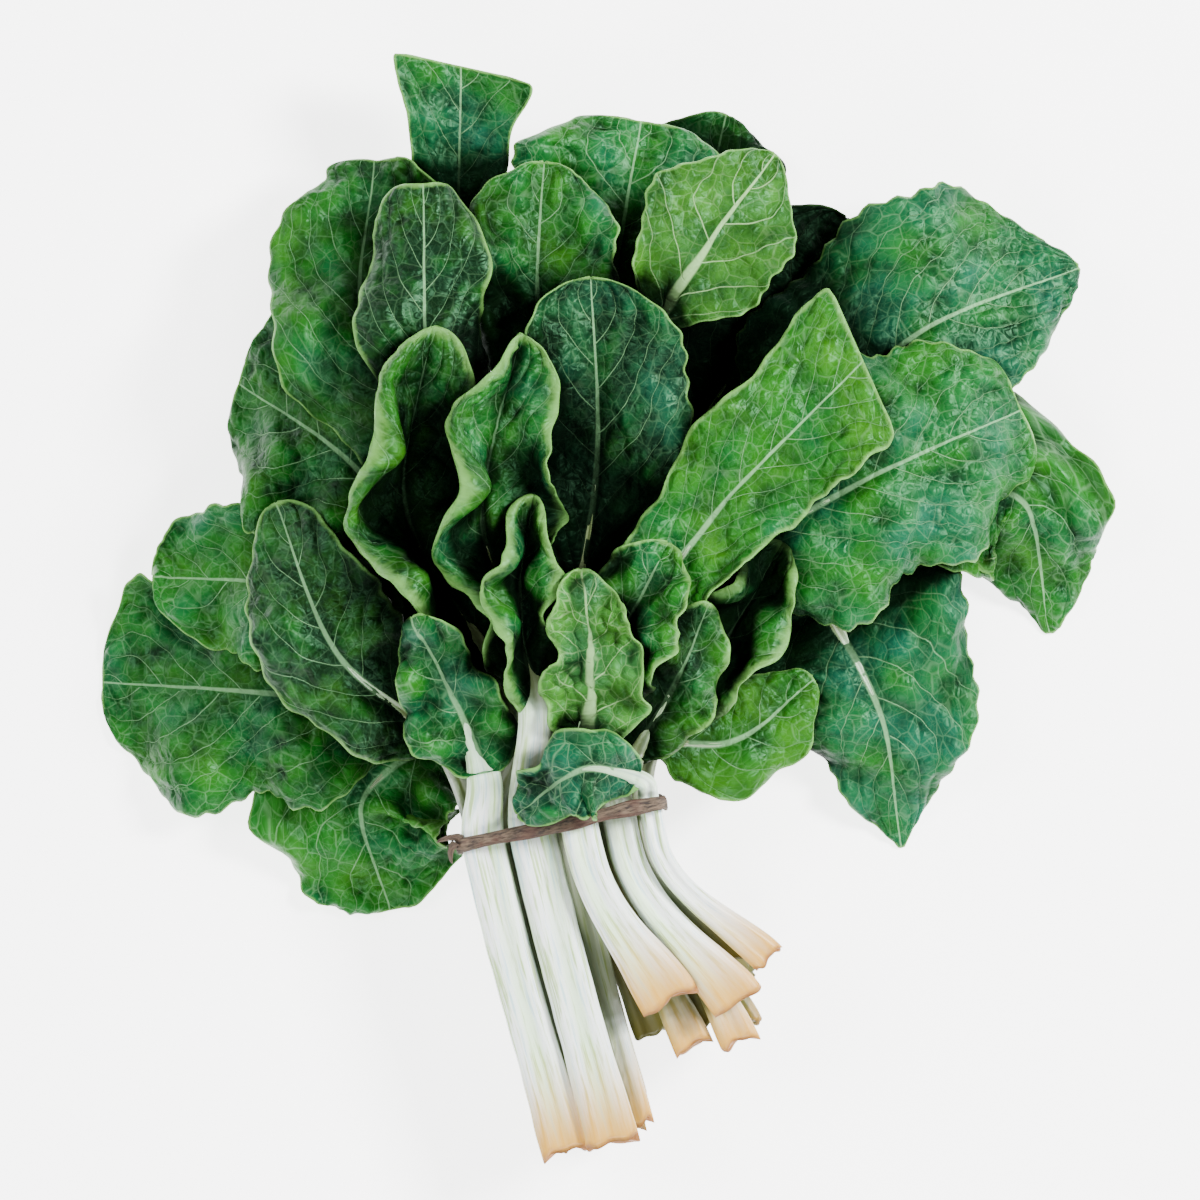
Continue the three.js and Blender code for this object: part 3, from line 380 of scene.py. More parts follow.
middles = [MAP_LOW[k] + (np.arange(MAP_SHAPE[1 - k]) + 0.5) * CELL for k in (1, 0)]
cell_y, cell_x = np.meshgrid(*middles, indexing="ij")
pile = np.where(near_tie(cell_x, cell_y), TIE_GAP + TIE_THICKNESS - LEAF_GAP, -LEAF_GAP)


def refined(values):
    """Straight blends inside every cell of a grid, as an array of rows, steps, columns, steps."""
    t = (np.arange(STEPS) + 0.5) / STEPS
    rows = values[:-1, None, :] * (1 - t)[None, :, None] + values[1:, None, :] * t[None, :, None]
    return rows[..., :-1, None] * (1 - t) + rows[..., 1:, None] * t


def cells_of(points):
    """The map's cell under each refined sample of a grid of points."""
    x, y = refined(points[..., 0]), refined(points[..., 1])
    return x, y, ((y - MAP_LOW[1]) / CELL).astype(int), ((x - MAP_LOW[0]) / CELL).astype(int)


def lift_needed(points, low, over_tie=0.0, skip=0):
    """How far each grid point must rise: the most that any sample in the cells round it falls short."""
    x, y, j, i = cells_of(points)
    room = LEAF_GAP + over_tie * near_tie(x, y)
    short = np.maximum(pile[j, i] + room - refined(low), 0).max(axis=(1, 3))
    short[:skip] = 0
    padded = np.pad(short, 1)
    return np.maximum.reduce([padded[:-1, :-1], padded[1:, :-1], padded[:-1, 1:], padded[1:, 1:]])


def add_to_pile(points, high):
    """Raises the map to a strip's upper side, with one cell of room all round."""
    _, _, j, i = cells_of(points)
    top = refined(high)
    for dj in (-1, 0, 1):
        for di in (-1, 0, 1):
            np.maximum.at(pile, (j + dj, i + di), top)


def spread(lift, level_rows=0, held_rows=0):
    """Blurs the lift again and again and never lets it sink; level rows are those of the stalk."""
    least = lift.copy()
    for _ in range(SPREAD_PASSES):
        p = np.pad(lift, 1, mode="edge")
        blurred = (p[:-2, 1:-1] + p[2:, 1:-1] + p[1:-1, :-2] + p[1:-1, 2:] + 4 * lift) / 8
        lift[held_rows:] = np.maximum(least, blurred)[held_rows:]
        if level_rows:
            lift[:level_rows] = lift[:level_rows].max(axis=1, keepdims=True)
            lift[level_rows - 2:level_rows] = lift[level_rows - 2:level_rows].max()
    return lift


print("the map covers", np.round(np.array(MAP_SHAPE[::-1]) * CELL), "mm")

# %% Lay every leaf
stalk_t = np.r_[np.arange(ROWS_PER_PART) / ROWS_PER_PART, 1 + np.arange(ROWS_PER_PART + 1) / ROWS_PER_PART]
blade_t = np.linspace(0, 1, BLADE_ROWS + 1)
grid_v = np.linspace(-1, 1, COLUMNS)


def lay(leaf):
    """Finds the leaf's lift on its coarse grid, and keeps it for the fine surfaces."""
    s = stalk_stations(leaf, stalk_t)
    centre, _, right, _ = frames(leaf, s)
    half, thick = stalk_section(leaf, s)
    stalk = centre[:, None] + right[:, None] * (half[:, None] * grid_v)[..., None]
    depth = thick[:, None] * np.sqrt(1 - 0.75 * grid_v**2)
    u = along_blade(blade_t)
    blade, width = blade_surface(leaf, u, grid_v)
    rib = rib_height(u, grid_v, width)
    skin = BLADE_THICKNESS / 2 + 0.2
    under, above = (skin, skin + rib) if leaf.get("over") else (skin + rib, skin)
    low = np.vstack([stalk[..., 2] - depth, blade[..., 2] - under])
    stalk_rows = len(stalk_t)
    lift = np.vstack([lift_needed(stalk, low[:stalk_rows]),
                      lift_needed(blade, low[stalk_rows:], ROOM_OVER_TIE)])
    lift = spread(lift, level_rows=stalk_rows + 1)
    stalk_lift, blade_lift = lift[:stalk_rows], lift[stalk_rows:]
    add_to_pile(stalk, stalk[..., 2] + depth + stalk_lift)
    more = lift_needed(blade, low[stalk_rows:] + blade_lift, ROOM_OVER_TIE, skip=9)
    blade_lift = blade_lift + spread(more, held_rows=6)
    add_to_pile(blade, blade[..., 2] + above + blade_lift)
    leaf["stalk_lift"], leaf["blade_lift"] = stalk_lift[:, 0], blade_lift


for each in LEAVES:
    lay(each)
print("top of the pile:", round(float(pile.max()), 1), "mm")


# %% Reading the lift on a finer grid
def cubic_weights(places, count):
    """Weights of the four nearest rows for each place, by the smooth cubic through them, as a matrix."""
    first = np.clip(np.floor(places).astype(int), 0, count - 2)
    t = places - first
    w = np.stack([-t + 2 * t**2 - t**3, 2 - 5 * t**2 + 3 * t**3, t + 4 * t**2 - 3 * t**3, -(t**2) + t**3]) / 2
    matrix = np.zeros((len(places), count))
    for k in range(4):
        np.add.at(matrix, (np.arange(len(places)), np.clip(first + k - 1, 0, count - 1)), w[k])
    return matrix


def fine_lift(leaf, t, v):
    """The blade's lift at rows t and columns v."""
    rows = cubic_weights(np.asarray(t) * BLADE_ROWS, BLADE_ROWS + 1)
    columns = cubic_weights((np.asarray(v) + 1) / 2 * (COLUMNS - 1), COLUMNS)
    return rows @ leaf["blade_lift"] @ columns.T


print("the last leaf's tip is lifted by", np.round(fine_lift(LEAVES[-1], [1.0], [0.0])[0], 1), "mm")


# %% How much of the sky each place has lost
# Painted shade: the leaf and stalk materials darken each place by how much of the sky it has lost.
def hidden_sky(points):
    """The mean over twelve bearings of the sine of the steepest angle from a point up to the pile."""
    x, y, z = points[..., 0], points[..., 1], points[..., 2]
    total = 0
    for angle in np.arange(12) * math.pi / 6:
        steepest = np.zeros(x.shape)
        for distance in (4, 7, 11, 16, 24, 36):
            j = ((y + distance * math.sin(angle) - MAP_LOW[1]) / CELL).astype(int)
            i = ((x + distance * math.cos(angle) - MAP_LOW[0]) / CELL).astype(int)
            rise = pile[np.clip(j, 0, MAP_SHAPE[0] - 1), np.clip(i, 0, MAP_SHAPE[1] - 1)] - z - 1.5
            steepest = np.maximum(steepest, rise / distance)
        total = total + steepest / np.sqrt(1 + steepest**2)
    return total / 12


print("sky lost on the table under the middle:", round(float(hidden_sky(np.array([0.0, 60, 0]))), 2))

# %% [markdown]
# ## From grids to meshes
#
# Arrays of points become a Blender mesh in one call. A closed skin is a grid of squares for the upper side,
# one for the lower side and a narrow strip along the rim. A tube's grid closes on itself, with a fan across
# each end. Numbers for the material go along with the points, such as how far each is from the midrib and
# the margin.


# %% Making a mesh from arrays
def make_mesh(name, points, faces, uv, values=None, face_slots=None):
    """One mesh object in metres from points in millimetres and faces of four corners."""
    mesh = bpy.data.meshes.new(name)
    mesh.vertices.add(len(points))
    mesh.vertices.foreach_set("co", (points * MM).astype(np.float32).ravel())
    mesh.loops.add(faces.size)
    mesh.polygons.add(len(faces))
    mesh.polygons.foreach_set("loop_start", np.arange(len(faces)) * 4)
    mesh.loops.foreach_set("vertex_index", faces.ravel())
    if face_slots is not None:
        mesh.polygons.foreach_set("material_index", face_slots)
    mesh.uv_layers.new(name="surface").data.foreach_set("uv", uv[faces.ravel()].astype(np.float32).ravel())
    for label, data in (values or {}).items():
        attribute = mesh.attributes.new(label, "FLOAT_VECTOR", "POINT")
        attribute.data.foreach_set("vector", data.astype(np.float32).ravel())
    mesh.update(calc_edges=True)
    mesh.validate()
    mesh.shade_smooth()
    piece = bpy.data.objects.new(name, mesh)
    bpy.context.scene.collection.objects.link(piece)
    return piece


def grid_faces(rows, columns, flip=False):
    """The squares of a grid of points, counted row by row."""
    k = (np.arange(rows - 1)[:, None] * columns + np.arange(columns - 1)).ravel()
    quads = np.stack([k, k + 1, k + columns + 1, k + columns], axis=1)
    return quads[:, ::-1] if flip else quads


def rim_faces(rows, columns):
    """The strip that joins the rims of an upper and a lower grid."""
    top = np.arange(columns - 1)
    right = np.arange(rows - 1) * columns + columns - 1
    bottom = (rows - 1) * columns + np.arange(columns - 1, 0, -1)
    left = np.arange(rows - 1, 0, -1) * columns
    rim = np.r_[top, right, bottom, left]
    following = np.roll(rim, -1)
    below = rows * columns
    return np.stack([rim, rim + below, following + below, following], axis=1)


def tube_faces(rings, sides):
    """The squares of a tube, whose last column is its first, and a fan of squares across each end."""
    faces = grid_faces(rings, sides + 1)
    column, row = faces % (sides + 1), faces // (sides + 1)
    first = np.arange(sides // 2 - 1)
    fan = np.stack([first, first + 1, sides - 2 - first, sides - 1 - first], axis=1)
    return np.concatenate([row * sides + column % sides, fan[:, ::-1], fan + (rings - 1) * sides])


def per_point(shape, *parts):
    """Numbers or arrays as the columns of one table, with a row for each point of a grid."""
    return np.stack([np.broadcast_to(part, shape) for part in parts], axis=-1).reshape(-1, len(parts))


print("squares of a tube of 3 rings with 6 sides:", len(tube_faces(3, 6)))

# %% [markdown]
# ## Veins, puckers and frill
#
# What makes such a leaf look alive is that the blade grows faster than its veins. It swells into soft
# puckers between them, and the veins are pulled down into creases. The pattern is worked out as one height
# over the blade, and the same numbers go to the material, so the pale veins lie in the bottom of the
# creases.


# %% The leaf's relief
VEIN_SPACING = 13
BLADE_T = np.linspace(0, 1, 120)
BLADE_V = np.linspace(-1, 1, 59)
MIDLINE = 29


def vein_phase(leaf, u, v):
    """Counts the side veins: a whole number on each, for lines that sweep to the tip as they run out."""
    count = max(5, round((leaf["tip_s"] - leaf["base_s"]) / VEIN_SPACING))
    side = (v >= 0).astype(float)
    u, v = u[:, None], v[None, :]
    sweep = 0.3 * abs(v) ** 1.25 * (leaf["half"] / 30 + 0.4)
    wobble = 0.025 * np.sin(u * 19 + 5 * side + leaf["half"]) + 0.02 * np.sin(v * 9 + u * 7)
    return (u - sweep + wobble * abs(v)) * count + 0.5 * side


def ripples(x, y, wavelength, seed):
    """Soft random bumps from -1 to 1: a sum of sine waves of about one wavelength, that run all ways."""
    total = np.zeros(np.broadcast(x, y).shape)
    for k in range(9):
        angle = 2 * math.pi * draw(seed + 7 * k)
        pace = 2 * math.pi / wavelength * (0.75 + 0.6 * draw(seed + 7 * k + 3))
        total += np.sin(pace * (x * math.cos(angle) + y * math.sin(angle)) + 6.3 * draw(seed + 7 * k + 5))
    return total / 4


def relief(leaf, u, v, width, along, phase, seed):
    """The skin's height: domes between veins, creases on them, and puckers, finer and higher in patches."""
    across = v[None, :] * width
    between = abs(np.sin(math.pi * phase))
    inside = smooth(abs(across) / 6) * smooth((1 - abs(v)[None, :]) / 0.25 + 0.25)
    domes = 0.7 * inside * (between**0.7 - 0.6)
    crumple = leaf.get("crumple", 1)
    puckers = 0.65 * crumple * ripples(along, across, 14, seed)
    patches = smooth(0.45 + 0.9 * ripples(along, across, 46, seed + 800))
    folds = 0.55 - abs(ripples(along, across, 8.5, seed + 400))
    wrinkles = 0.5 - abs(ripples(along, across, 5.5, seed + 1200))
    puckers = puckers + crumple * ((0.25 + 0.55 * patches) * folds + 0.3 * patches * wrinkles)
    midrib = -0.7 * np.exp(-((across / 1.6) ** 2)) * (1 - u[:, None])
    ends = smooth(u / 0.06) * smooth((1 - u) / 0.03)
    return (domes + puckers * (0.35 + 0.65 * inside) + midrib) * ends[:, None]


print("side veins of the first leaf:", math.ceil(np.ptp(vein_phase(LEAVES[0], BLADE_T, np.zeros(1)))))


# %% One blade
def normals_of(points):
    """The direction that each point of a grid faces: the row direction crossed with the column direction."""
    return unit(np.cross(np.gradient(points, axis=1), np.gradient(points, axis=0)))


def make_blade(leaf, seed):
    """The blade as a thin closed sheet with relief, midrib and frill, and the numbers for its material."""
    u, v = along_blade(BLADE_T), BLADE_V[None, :]
    points, width = blade_surface(leaf, u, BLADE_V, frill=1)
    points[..., 2] += fine_lift(leaf, BLADE_T, BLADE_V)
    steps = np.diff(points[:, MIDLINE], axis=0, prepend=points[:1, MIDLINE])
    along = np.cumsum(np.linalg.norm(steps, axis=1))[:, None] + 0 * width
    across = v * width
    phase = vein_phase(leaf, u, BLADE_V)
    puckers = relief(leaf, u, BLADE_V, width, along, phase, seed)
    points = points + normals_of(points) * puckers[..., None]
    normal = normals_of(points)
    thin = 0.22 + 0.2 * (1 - abs(v) ** 4)
    upper = points + normal * thin[..., None]
    lower = points - normal * (thin + rib_height(u, BLADE_V, width))[..., None]
    shape = width.shape
    top, under, rim = grid_faces(*shape), grid_faces(*shape, flip=True) + width.size, rim_faces(*shape)
    skin = np.concatenate([upper.reshape(-1, 3), lower.reshape(-1, 3)])
    edge = np.minimum((1 - abs(v)) * width, (1 - u[:, None]) * (leaf["tip_s"] - leaf["base_s"]))
    # How much sky each point has lost, scaled by the leaf's gloom, sets the painted shade in its material.
    sky = leaf.get("gloom", 1) * hidden_sky(upper)
    values = {"pattern": (phase, abs(across), edge),
              "reach": (u[:, None], abs(v), sky),
              "crease": (puckers, leaf.get("crumple", 1), 0),
              "tint": (leaf["tone"], leaf["hue"], leaf.get("rim", 0.15))}
    values = {label: np.tile(per_point(shape, *three), (2, 1)) for label, three in values.items()}
    uv = np.tile(per_point(shape, 0.5 + across / UV_MM, along / UV_MM), (2, 1))
    slots = np.repeat([0, 1, 0], [len(top), len(under), len(rim)])
    return make_mesh(f"{leaf['name']}_leaf", skin, np.concatenate([top, under, rim]), uv, values, slots)


print("points on one side of a blade:", BLADE_T.size * BLADE_V.size)

# %% [markdown]
# ## Stalks
#
# The stalk is a flattened tube, round below and grooved above, with fine ridges along it. Its cut end
# flares, is torn a little and closes with a shallow hollow face. A real stalk doesn't stop at the blade: it
# runs on as the midrib and thins out, so the tube follows the blade's midline for two fifths of its length,
# sunk into it.

# %% One stalk
STALK_RINGS = 100
RIB_RINGS = 34
RIB_REACH = 0.42
STALK_SIDES = 48


def stalk_profile(angle):
    """A section from -1 to 1 both ways: a blunt half round below, and a lower one with a groove above."""
    x, z = np.cos(angle), np.sin(angle)
    above = 0.92 * (1 - abs(x) ** 3.2) ** 0.75 - 0.36 * np.exp(-((x / 0.36) ** 2))
    below = -((1 - abs(x) ** 2.3) ** 0.62)
    return x, np.where(z >= 0, above, below)


def stalk_line(leaf):
    """The stalk's line and frames, lifted, run on along the blade's midline; w goes from 0 to 1 there."""
    t = np.linspace(0, 2, STALK_RINGS)
    blade_t = np.linspace(0, 1, 400)
    rib_t = np.interp(np.linspace(0.008, RIB_REACH, RIB_RINGS), along_blade(blade_t), blade_t)
    middle, _ = blade_surface(leaf, along_blade(rib_t), np.array([0.0]))
    middle[..., 2] += fine_lift(leaf, rib_t, np.array([0.0]))
    s = np.r_[stalk_stations(leaf, t), mix(leaf["base_s"], leaf["tip_s"], along_blade(rib_t))]
    centre, forward, right, face = frames(leaf, s)
    centre[:STALK_RINGS, 2] += np.interp(t, stalk_t, leaf["stalk_lift"])
    centre[STALK_RINGS:] = middle[:, 0]
    w = np.r_[np.zeros(STALK_RINGS), (np.arange(RIB_RINGS) + 1) / RIB_RINGS]
    return centre, forward, right, face, s, w


def make_stalk(leaf, seed):
    """The stalk as rings carried along the leaf's line, closed at both ends."""
    centre, forward, right, face, s, w = stalk_line(leaf)
    angle = (np.arange(STALK_SIDES) + 0.5) / STALK_SIDES * 2 * math.pi
    x, z = stalk_profile(angle)
    half, thick = stalk_section(leaf, np.minimum(s, leaf["base_s"]))
    thin = (1 - w) ** 0.8
    half, thick = half * mix(0.12, 1, thin), thick * mix(0.3, 1, thin)
    ridges = 0.025 * np.sin(9 * angle + 6 * draw(seed)) + 0.02 * np.sin(14 * angle + 6 * draw(seed + 1))
    ridges = 1 + ridges * smooth(s / 25)[:, None] + 0.012 * ripples(s[:, None] / 3, angle * 4, 5, seed)
    torn = 1.6 * ripples(angle * 3, 0 * angle, 4, seed + 90) * np.exp(-((s[:, None] / 3) ** 2))
    # Over the last stretch the stalk sinks, until its upper side is level with the blade's.
    join = smooth((s - leaf["base_s"] + 16) / 16)
    sunk = join * thick * mix(0.1, 0.7, smooth(1.4 * w))
    side = (x * ridges * half[:, None])[..., None]
    rise = (z * ridges * thick[:, None] - sunk[:, None])[..., None]
    points = centre[:, None] + right[:, None] * side + face[:, None] * rise
    points = points + forward[:, None] * torn[..., None]
    start, end = points[0].mean(axis=0), points[-1].mean(axis=0)
    caps = [start + (points[0] - start) * shrink + forward[0] * depth
            for shrink, depth in ((0.02, 1.2), (0.5, 1.0), (0.85, 0.35))]
    close = [end + (points[-1] - end) * shrink for shrink in (0.6, 0.02)]
    skin = np.concatenate([caps, points, close])
    from_end = np.r_[-1.2, -1.0, -0.4, s, s[-1], s[-1]][:, None]
    shape = (len(skin), STALK_SIDES)
    uv = per_point(shape, angle / (2 * math.pi) * leaf["stalk"] * 2.6 / UV_MM, from_end / UV_MM)
    # The third mark is how much sky each point has lost, for the stalk's painted shade.
    values = {"marks_and_shade": per_point(shape, from_end, leaf["base_s"] - from_end, hidden_sky(skin)),
              "stain": per_point(shape, leaf["inner"], 0, 0)}
    piece = make_mesh(f"{leaf['name']}_petiole", skin.reshape(-1, 3), tube_faces(*shape)[:, ::-1], uv, values)
    tie_rows = abs(points @ ALONG) < 0.8 * TIE_WIDTH
    leaf["at_tie"] = np.stack([points[tie_rows] @ ACROSS, points[tie_rows][:, 2]], axis=1)
    return piece


print("rings of a stalk, with its ends:", STALK_RINGS + RIB_RINGS + 5)

# %% [markdown]
# ## The tie
#
# The tie is a narrow band of dull brown fibre drawn tight round the stalks. A tight band takes the shape of
# the stalks' outer hull, so in each direction it stands off whichever stalk reaches furthest that way. It
# is a little twisted, so its ridges run slantwise as it goes round, and its two ends stick out in a small
# knot on the left.


# %% The band
def hull_ring(points, away, count=720):
    """A closed line round points at a distance: in each direction the furthest point, moved out that way."""
    turn = -math.pi / 2 + (np.arange(count) + 0.5) / count * 2 * math.pi
    n = np.stack([np.cos(turn), np.sin(turn)], axis=1)
    furthest = points[np.argmax(n @ points.T, axis=1)]
    return furthest + away * n


def even_ring(ring, count):
    """The same closed line with its points at even distances."""
    closed = np.vstack([ring, ring[:1]])
    s = np.r_[0, np.cumsum(np.linalg.norm(np.diff(closed, axis=0), axis=1))]
    at = np.linspace(0, s[-1], count, endpoint=False)
    return np.stack([np.interp(at, s, closed[:, k]) for k in (0, 1)], axis=1), at


def make_tie(stalk_points):
    """The band as a flat, slightly wavy strip carried round the hull."""
    flat = np.array([[-TIE_FLAT / 2, TIE_GAP + TIE_THICKNESS], [TIE_FLAT / 2, TIE_GAP + TIE_THICKNESS]])
    ring, s = even_ring(hull_ring(np.vstack([stalk_points, flat]), TIE_GAP + TIE_THICKNESS / 2), 360)
    tangent = unit(np.roll(ring, -2, axis=0) - np.roll(ring, 2, axis=0))
    out = np.stack([tangent[:, 1], -tangent[:, 0]], axis=1)
    sides = 24
    angle = np.arange(sides) / sides * 2 * math.pi
    corner = np.stack([np.sign(np.cos(angle)) * abs(np.cos(angle)) ** 0.6,
                       np.sign(np.sin(angle)) * abs(np.sin(angle)) ** 0.8], axis=1)
    wave = ripples(s, 0 * s, 14, 31)
    wide = TIE_WIDTH / 2 * (0.86 + 0.1 * wave)
    drift = 0.5 * ripples(s, 0 * s, 40, 77)
    fibres = 1 + 0.1 * np.sin(angle * 5 + s[:, None] / 4) + 0.06 * np.sin(angle * 9 - s[:, None] / 3)
    thick = TIE_THICKNESS / 2 * 0.9 * fibres
    push = np.minimum(corner[None, :, 1] * thick, 0.8)
    slide = corner[None, :, 0] * wide[:, None] + drift[:, None]
    flat_points = ring[:, None] + out[:, None] * push[..., None]
    points = ACROSS * flat_points[..., :1] + ALONG * slide[..., None]
    points[..., 2] = np.maximum(flat_points[..., 1], 0.0)
    a = np.arange(len(ring) * sides).reshape(-1, sides)
    b = np.roll(a, -1, axis=0)
    quads = np.stack([a, np.roll(a, -1, axis=1), np.roll(b, -1, axis=1), b], axis=-1).reshape(-1, 4)
    uv = per_point(a.shape, s[:, None] / UV_MM, angle / 40)
    return make_mesh("tie_band", points.reshape(-1, 3), quads, uv), ring, out


print("a ring round one point is", np.ptp(hull_ring(np.zeros((1, 2)), 1)[:, 0]).round(2), "wide")


# %% The knot
def make_tie_end(name, start, way, length, seed):
    """A short end of the band: a tube of three lobes that turns as it goes, bends down and thins out."""
    rows, sides = 40, 18
    w = np.linspace(0, 1, rows)
    angle = np.arange(sides) / sides * 2 * math.pi
    way = unit(np.array(way, float))
    side = unit(np.cross(way, (0, 0, 1)))
    up = np.cross(side, way)
    bend = 2.2 * np.sin(2.6 * w + draw(seed))
    centre = start + way * (w * length)[:, None] + side * bend[:, None] - up * (2.2 * w**2)[:, None]
    lobes = 1 + 0.28 * np.cos(3 * angle[None, :] + 7 * w[:, None])
    girth = 1.25 * lobes * mix(1, 0.45, w)[:, None] * smooth((1 - w) / 0.06 + 0.05)[:, None]
    ring = side * (np.cos(angle)[:, None]) + up * (0.8 * np.sin(angle)[:, None])
    points = centre[:, None] + ring[None] * girth[..., None]
    points[..., 2] = np.maximum(points[..., 2], 0.2)
    uv = per_point((rows, sides), w[:, None] * length / UV_MM, angle / 40)
    return make_mesh(name, points.reshape(-1, 3), tube_faces(rows, sides), uv)


print("the tie lies", TIE_GAP, "mm off the stalks")

# %% [markdown]
# ## Finishes
#
# Leaf, leaf underside, stalk and tie each get a material that starts from the real thing. A living leaf has
# a waxy skin: soft, broad highlights on a saturated green, with veins that are paler because they hold less
# green.


# %% Nodes
def linear(text):
    """The linear colour of an sRGB hex value."""
    c = np.array([int(text[k:k + 2], 16) / 255 for k in (0, 2, 4)])
    c = np.where(c <= 0.04045, c / 12.92, ((c + 0.055) / 1.055) ** 2.4)
    return (*c, 1)


def add_node(tree, kind, *values, out=0, **settings):
    """Adds one node, sets its properties, and sets or links its inputs in the order they are seen in."""
    node = tree.nodes.new("ShaderNode" + kind)
    for key, value in settings.items():
        setattr(node, key, value)
    for socket, value in zip([each for each in node.inputs if each.enabled], values):
        if isinstance(value, bpy.types.NodeSocket):
            tree.links.new(value, socket)
        else:
            socket.default_value = value
    return [each for each in node.outputs if each.enabled][out]


def new_finish(name):
    """A new material, its Principled shader, and add_node for its own tree."""
    material = bpy.data.materials.new(name)
    material.use_nodes = True
    tree = material.node_tree
    return material, tree.nodes["Principled BSDF"], partial(add_node, tree)


def set_inputs(node, inputs):
    """Links or sets a node's inputs by name."""
    for label, value in inputs.items():
        if isinstance(value, bpy.types.NodeSocket):
            node.id_data.links.new(value, node.inputs[label])
        else:
            node.inputs[label].default_value = value


ALL = slice(None)
BUMP_FILTER = 0.1
SOFT = {"interpolation_type": "SMOOTHSTEP"}
print("linear mid green:", [round(float(c), 3) for c in linear("18421b")])

# %% [markdown]
# A leaf's upper skin is green glass over green paint: a thin clear wax on cells full of green. It gives the
# eye a deep, saturated green, small soft highlights tinted by the leaf, and pale lines where the veins hold
# less green. The underside is duller, greyer and paler, and its veins stand out. All sizes in the pattern
# are in millimetres.


# %% The leaf's skin
def leaf_material(name, deep, light, vein_colour, strength):
    """A waxy leaf: tone and hue from the leaf, pale veins and margin, and painted shade where little sky is
    left.
    """
    material, shader, add = new_finish(name)
    uv = add("UVMap", uv_map="surface")
    pattern, tint, reach, crease = (
        add("SeparateXYZ", add("Attribute", attribute_name=label, out=1), out=ALL)
        for label in ("pattern", "tint", "reach", "crease"))
    # UV_MM over a size in millimetres is the scale of a pattern of that size.
    patches = add("TexNoise", uv, UV_MM / 13, 3.0, 0.6)
    mottle = add("TexNoise", uv, UV_MM / 3.5, 3.0, 0.65)
    wander = add("TexNoise", uv, UV_MM / 9, 2.0, out=1)
    shifted = add("VectorMath", wander, (0.012,) * 3, uv, operation="MULTIPLY_ADD")
    cells = add("TexVoronoi", shifted, UV_MM / 5.5, feature="DISTANCE_TO_EDGE")
    small_cells = add("TexVoronoi", shifted, UV_MM / 2.0, feature="DISTANCE_TO_EDGE")
    # Side veins lie where the phase is whole, the midrib where the distance from the midline is small.
    nearest = add("Math", pattern[0], 0.5, operation="PINGPONG")
    side_vein = add("MapRange", nearest, 0.03, 0.0, 0.0, 1.0, **SOFT)
    fade = add("MapRange", reach[1], 1.0, 0.1, 0.45, 1.0, **SOFT)
    side_vein = add("Math", side_vein, fade, operation="MULTIPLY")
    width = add("MapRange", reach[0], 1.0, 0.0, 0.35, 1.7, **SOFT)
    from_rib = add("Math", pattern[1], width, operation="DIVIDE")
    midrib = add("MapRange", from_rib, 1.1, 0.5, 0.0, 1.0, **SOFT)
    net = add("MapRange", cells, 0.045, 0.0, 0.0, 0.3, **SOFT)
    fine_net = add("MapRange", small_cells, 0.05, 0.0, 0.0, 0.14, **SOFT)
    nets = add("Math", net, fine_net, operation="MAXIMUM")
    for part in (patches, add("MapRange", crease[1], 0.8, 2.0, 1.0, 2.5)):
        nets = add("Math", nets, part, operation="MULTIPLY")
    veins = add("Math", side_vein, midrib, operation="MAXIMUM")
    veins = add("Math", veins, nets, operation="MAXIMUM")
    veins = add("Math", veins, strength, operation="MULTIPLY")
    # Green: three pairs of a deep and a light one, blended by the hue, with patches 13 and 3.5 mm wide.
    tone = add("Math", patches, 1.9, -0.95, operation="MULTIPLY_ADD")
    tone = add("Math", mottle, 0.7, tone, operation="MULTIPLY_ADD")
    tone = add("Math", tone, tint[0], operation="ADD")
    # Painted highlight and shade: ridges of the relief are a little lighter and creases darker.
    tone = add("Math", crease[0], 0.3, tone, operation="MULTIPLY_ADD")
    tone = add("Math", tone, 0.35, operation="SUBTRACT", use_clamp=True)
    green = add("Mix", tone, deep, light, data_type="RGBA")
    bluish = add("Mix", tone, linear("02120e"), linear("0c4c40"), data_type="RGBA")
    yellowish = add("Mix", tone, linear("081a01"), linear("346c06"), data_type="RGBA")
    drift = add("TexNoise", uv, UV_MM / 22, 2.0, 0.5)
    hue = add("Math", drift, 3.6, -1.8, operation="MULTIPLY_ADD")
    hue = add("Math", hue, tint[1], operation="ADD")
    blue_part = add("MapRange", hue, 0.0, -1.0, 0.0, 0.75)
    yellow_part = add("MapRange", hue, 0.0, 1.0, 0.0, 0.7)
    # The margin is a pale line, and a broad pale band on the leaves whose rims curl up to the eye: partly the
    # leaf's own paler margin, partly a painted highlight on the rims.
    rim = add("MapRange", tint[2], 0.0, 1.0, 0.9, 7.56)
    rim = add("Math", rim, mottle, operation="MULTIPLY")
    margin = add("MapRange", pattern[2], rim, 0.1, 0.0, 0.85, **SOFT)
    # Painted shade: the green goes near black where the pile hides the sky.
    gloom = add("MapRange", reach[2], 0.14, 0.55, 0.0, 0.96, **SOFT)
    for mask, over in ((blue_part, bluish), (yellow_part, yellowish), (veins, vein_colour),
                       (margin, linear("65964a")), (gloom, linear("020603"))):
        green = add("Mix", mask, green, over, data_type="RGBA")
    # Relief too fine for the mesh: small blisters between the net of veins.
    blister = add("MapRange", cells, 0.0, 0.35, 0.0, 0.9, **SOFT)
    grain = add("MapRange", small_cells, 0.0, 0.3, 0.0, 0.22, **SOFT)
    height = add("Math", blister, grain, operation="ADD")
    height = add("Math", side_vein, -0.8, height, operation="MULTIPLY_ADD")
    set_inputs(shader, {
        "Base Color": green,
        "Roughness": add("MapRange", mottle, 0.3, 0.7, 0.36, 0.52),
        # The shine fades where shade is painted in.
        "Specular IOR Level": add("MapRange", gloom, 0.0, 0.9, 0.3, 0.03),
        "Specular Tint": (0.35, 1.0, 0.5, 1),
        "Normal": add("Bump", 0.5, 0.0008, BUMP_FILTER, height)})
    return material


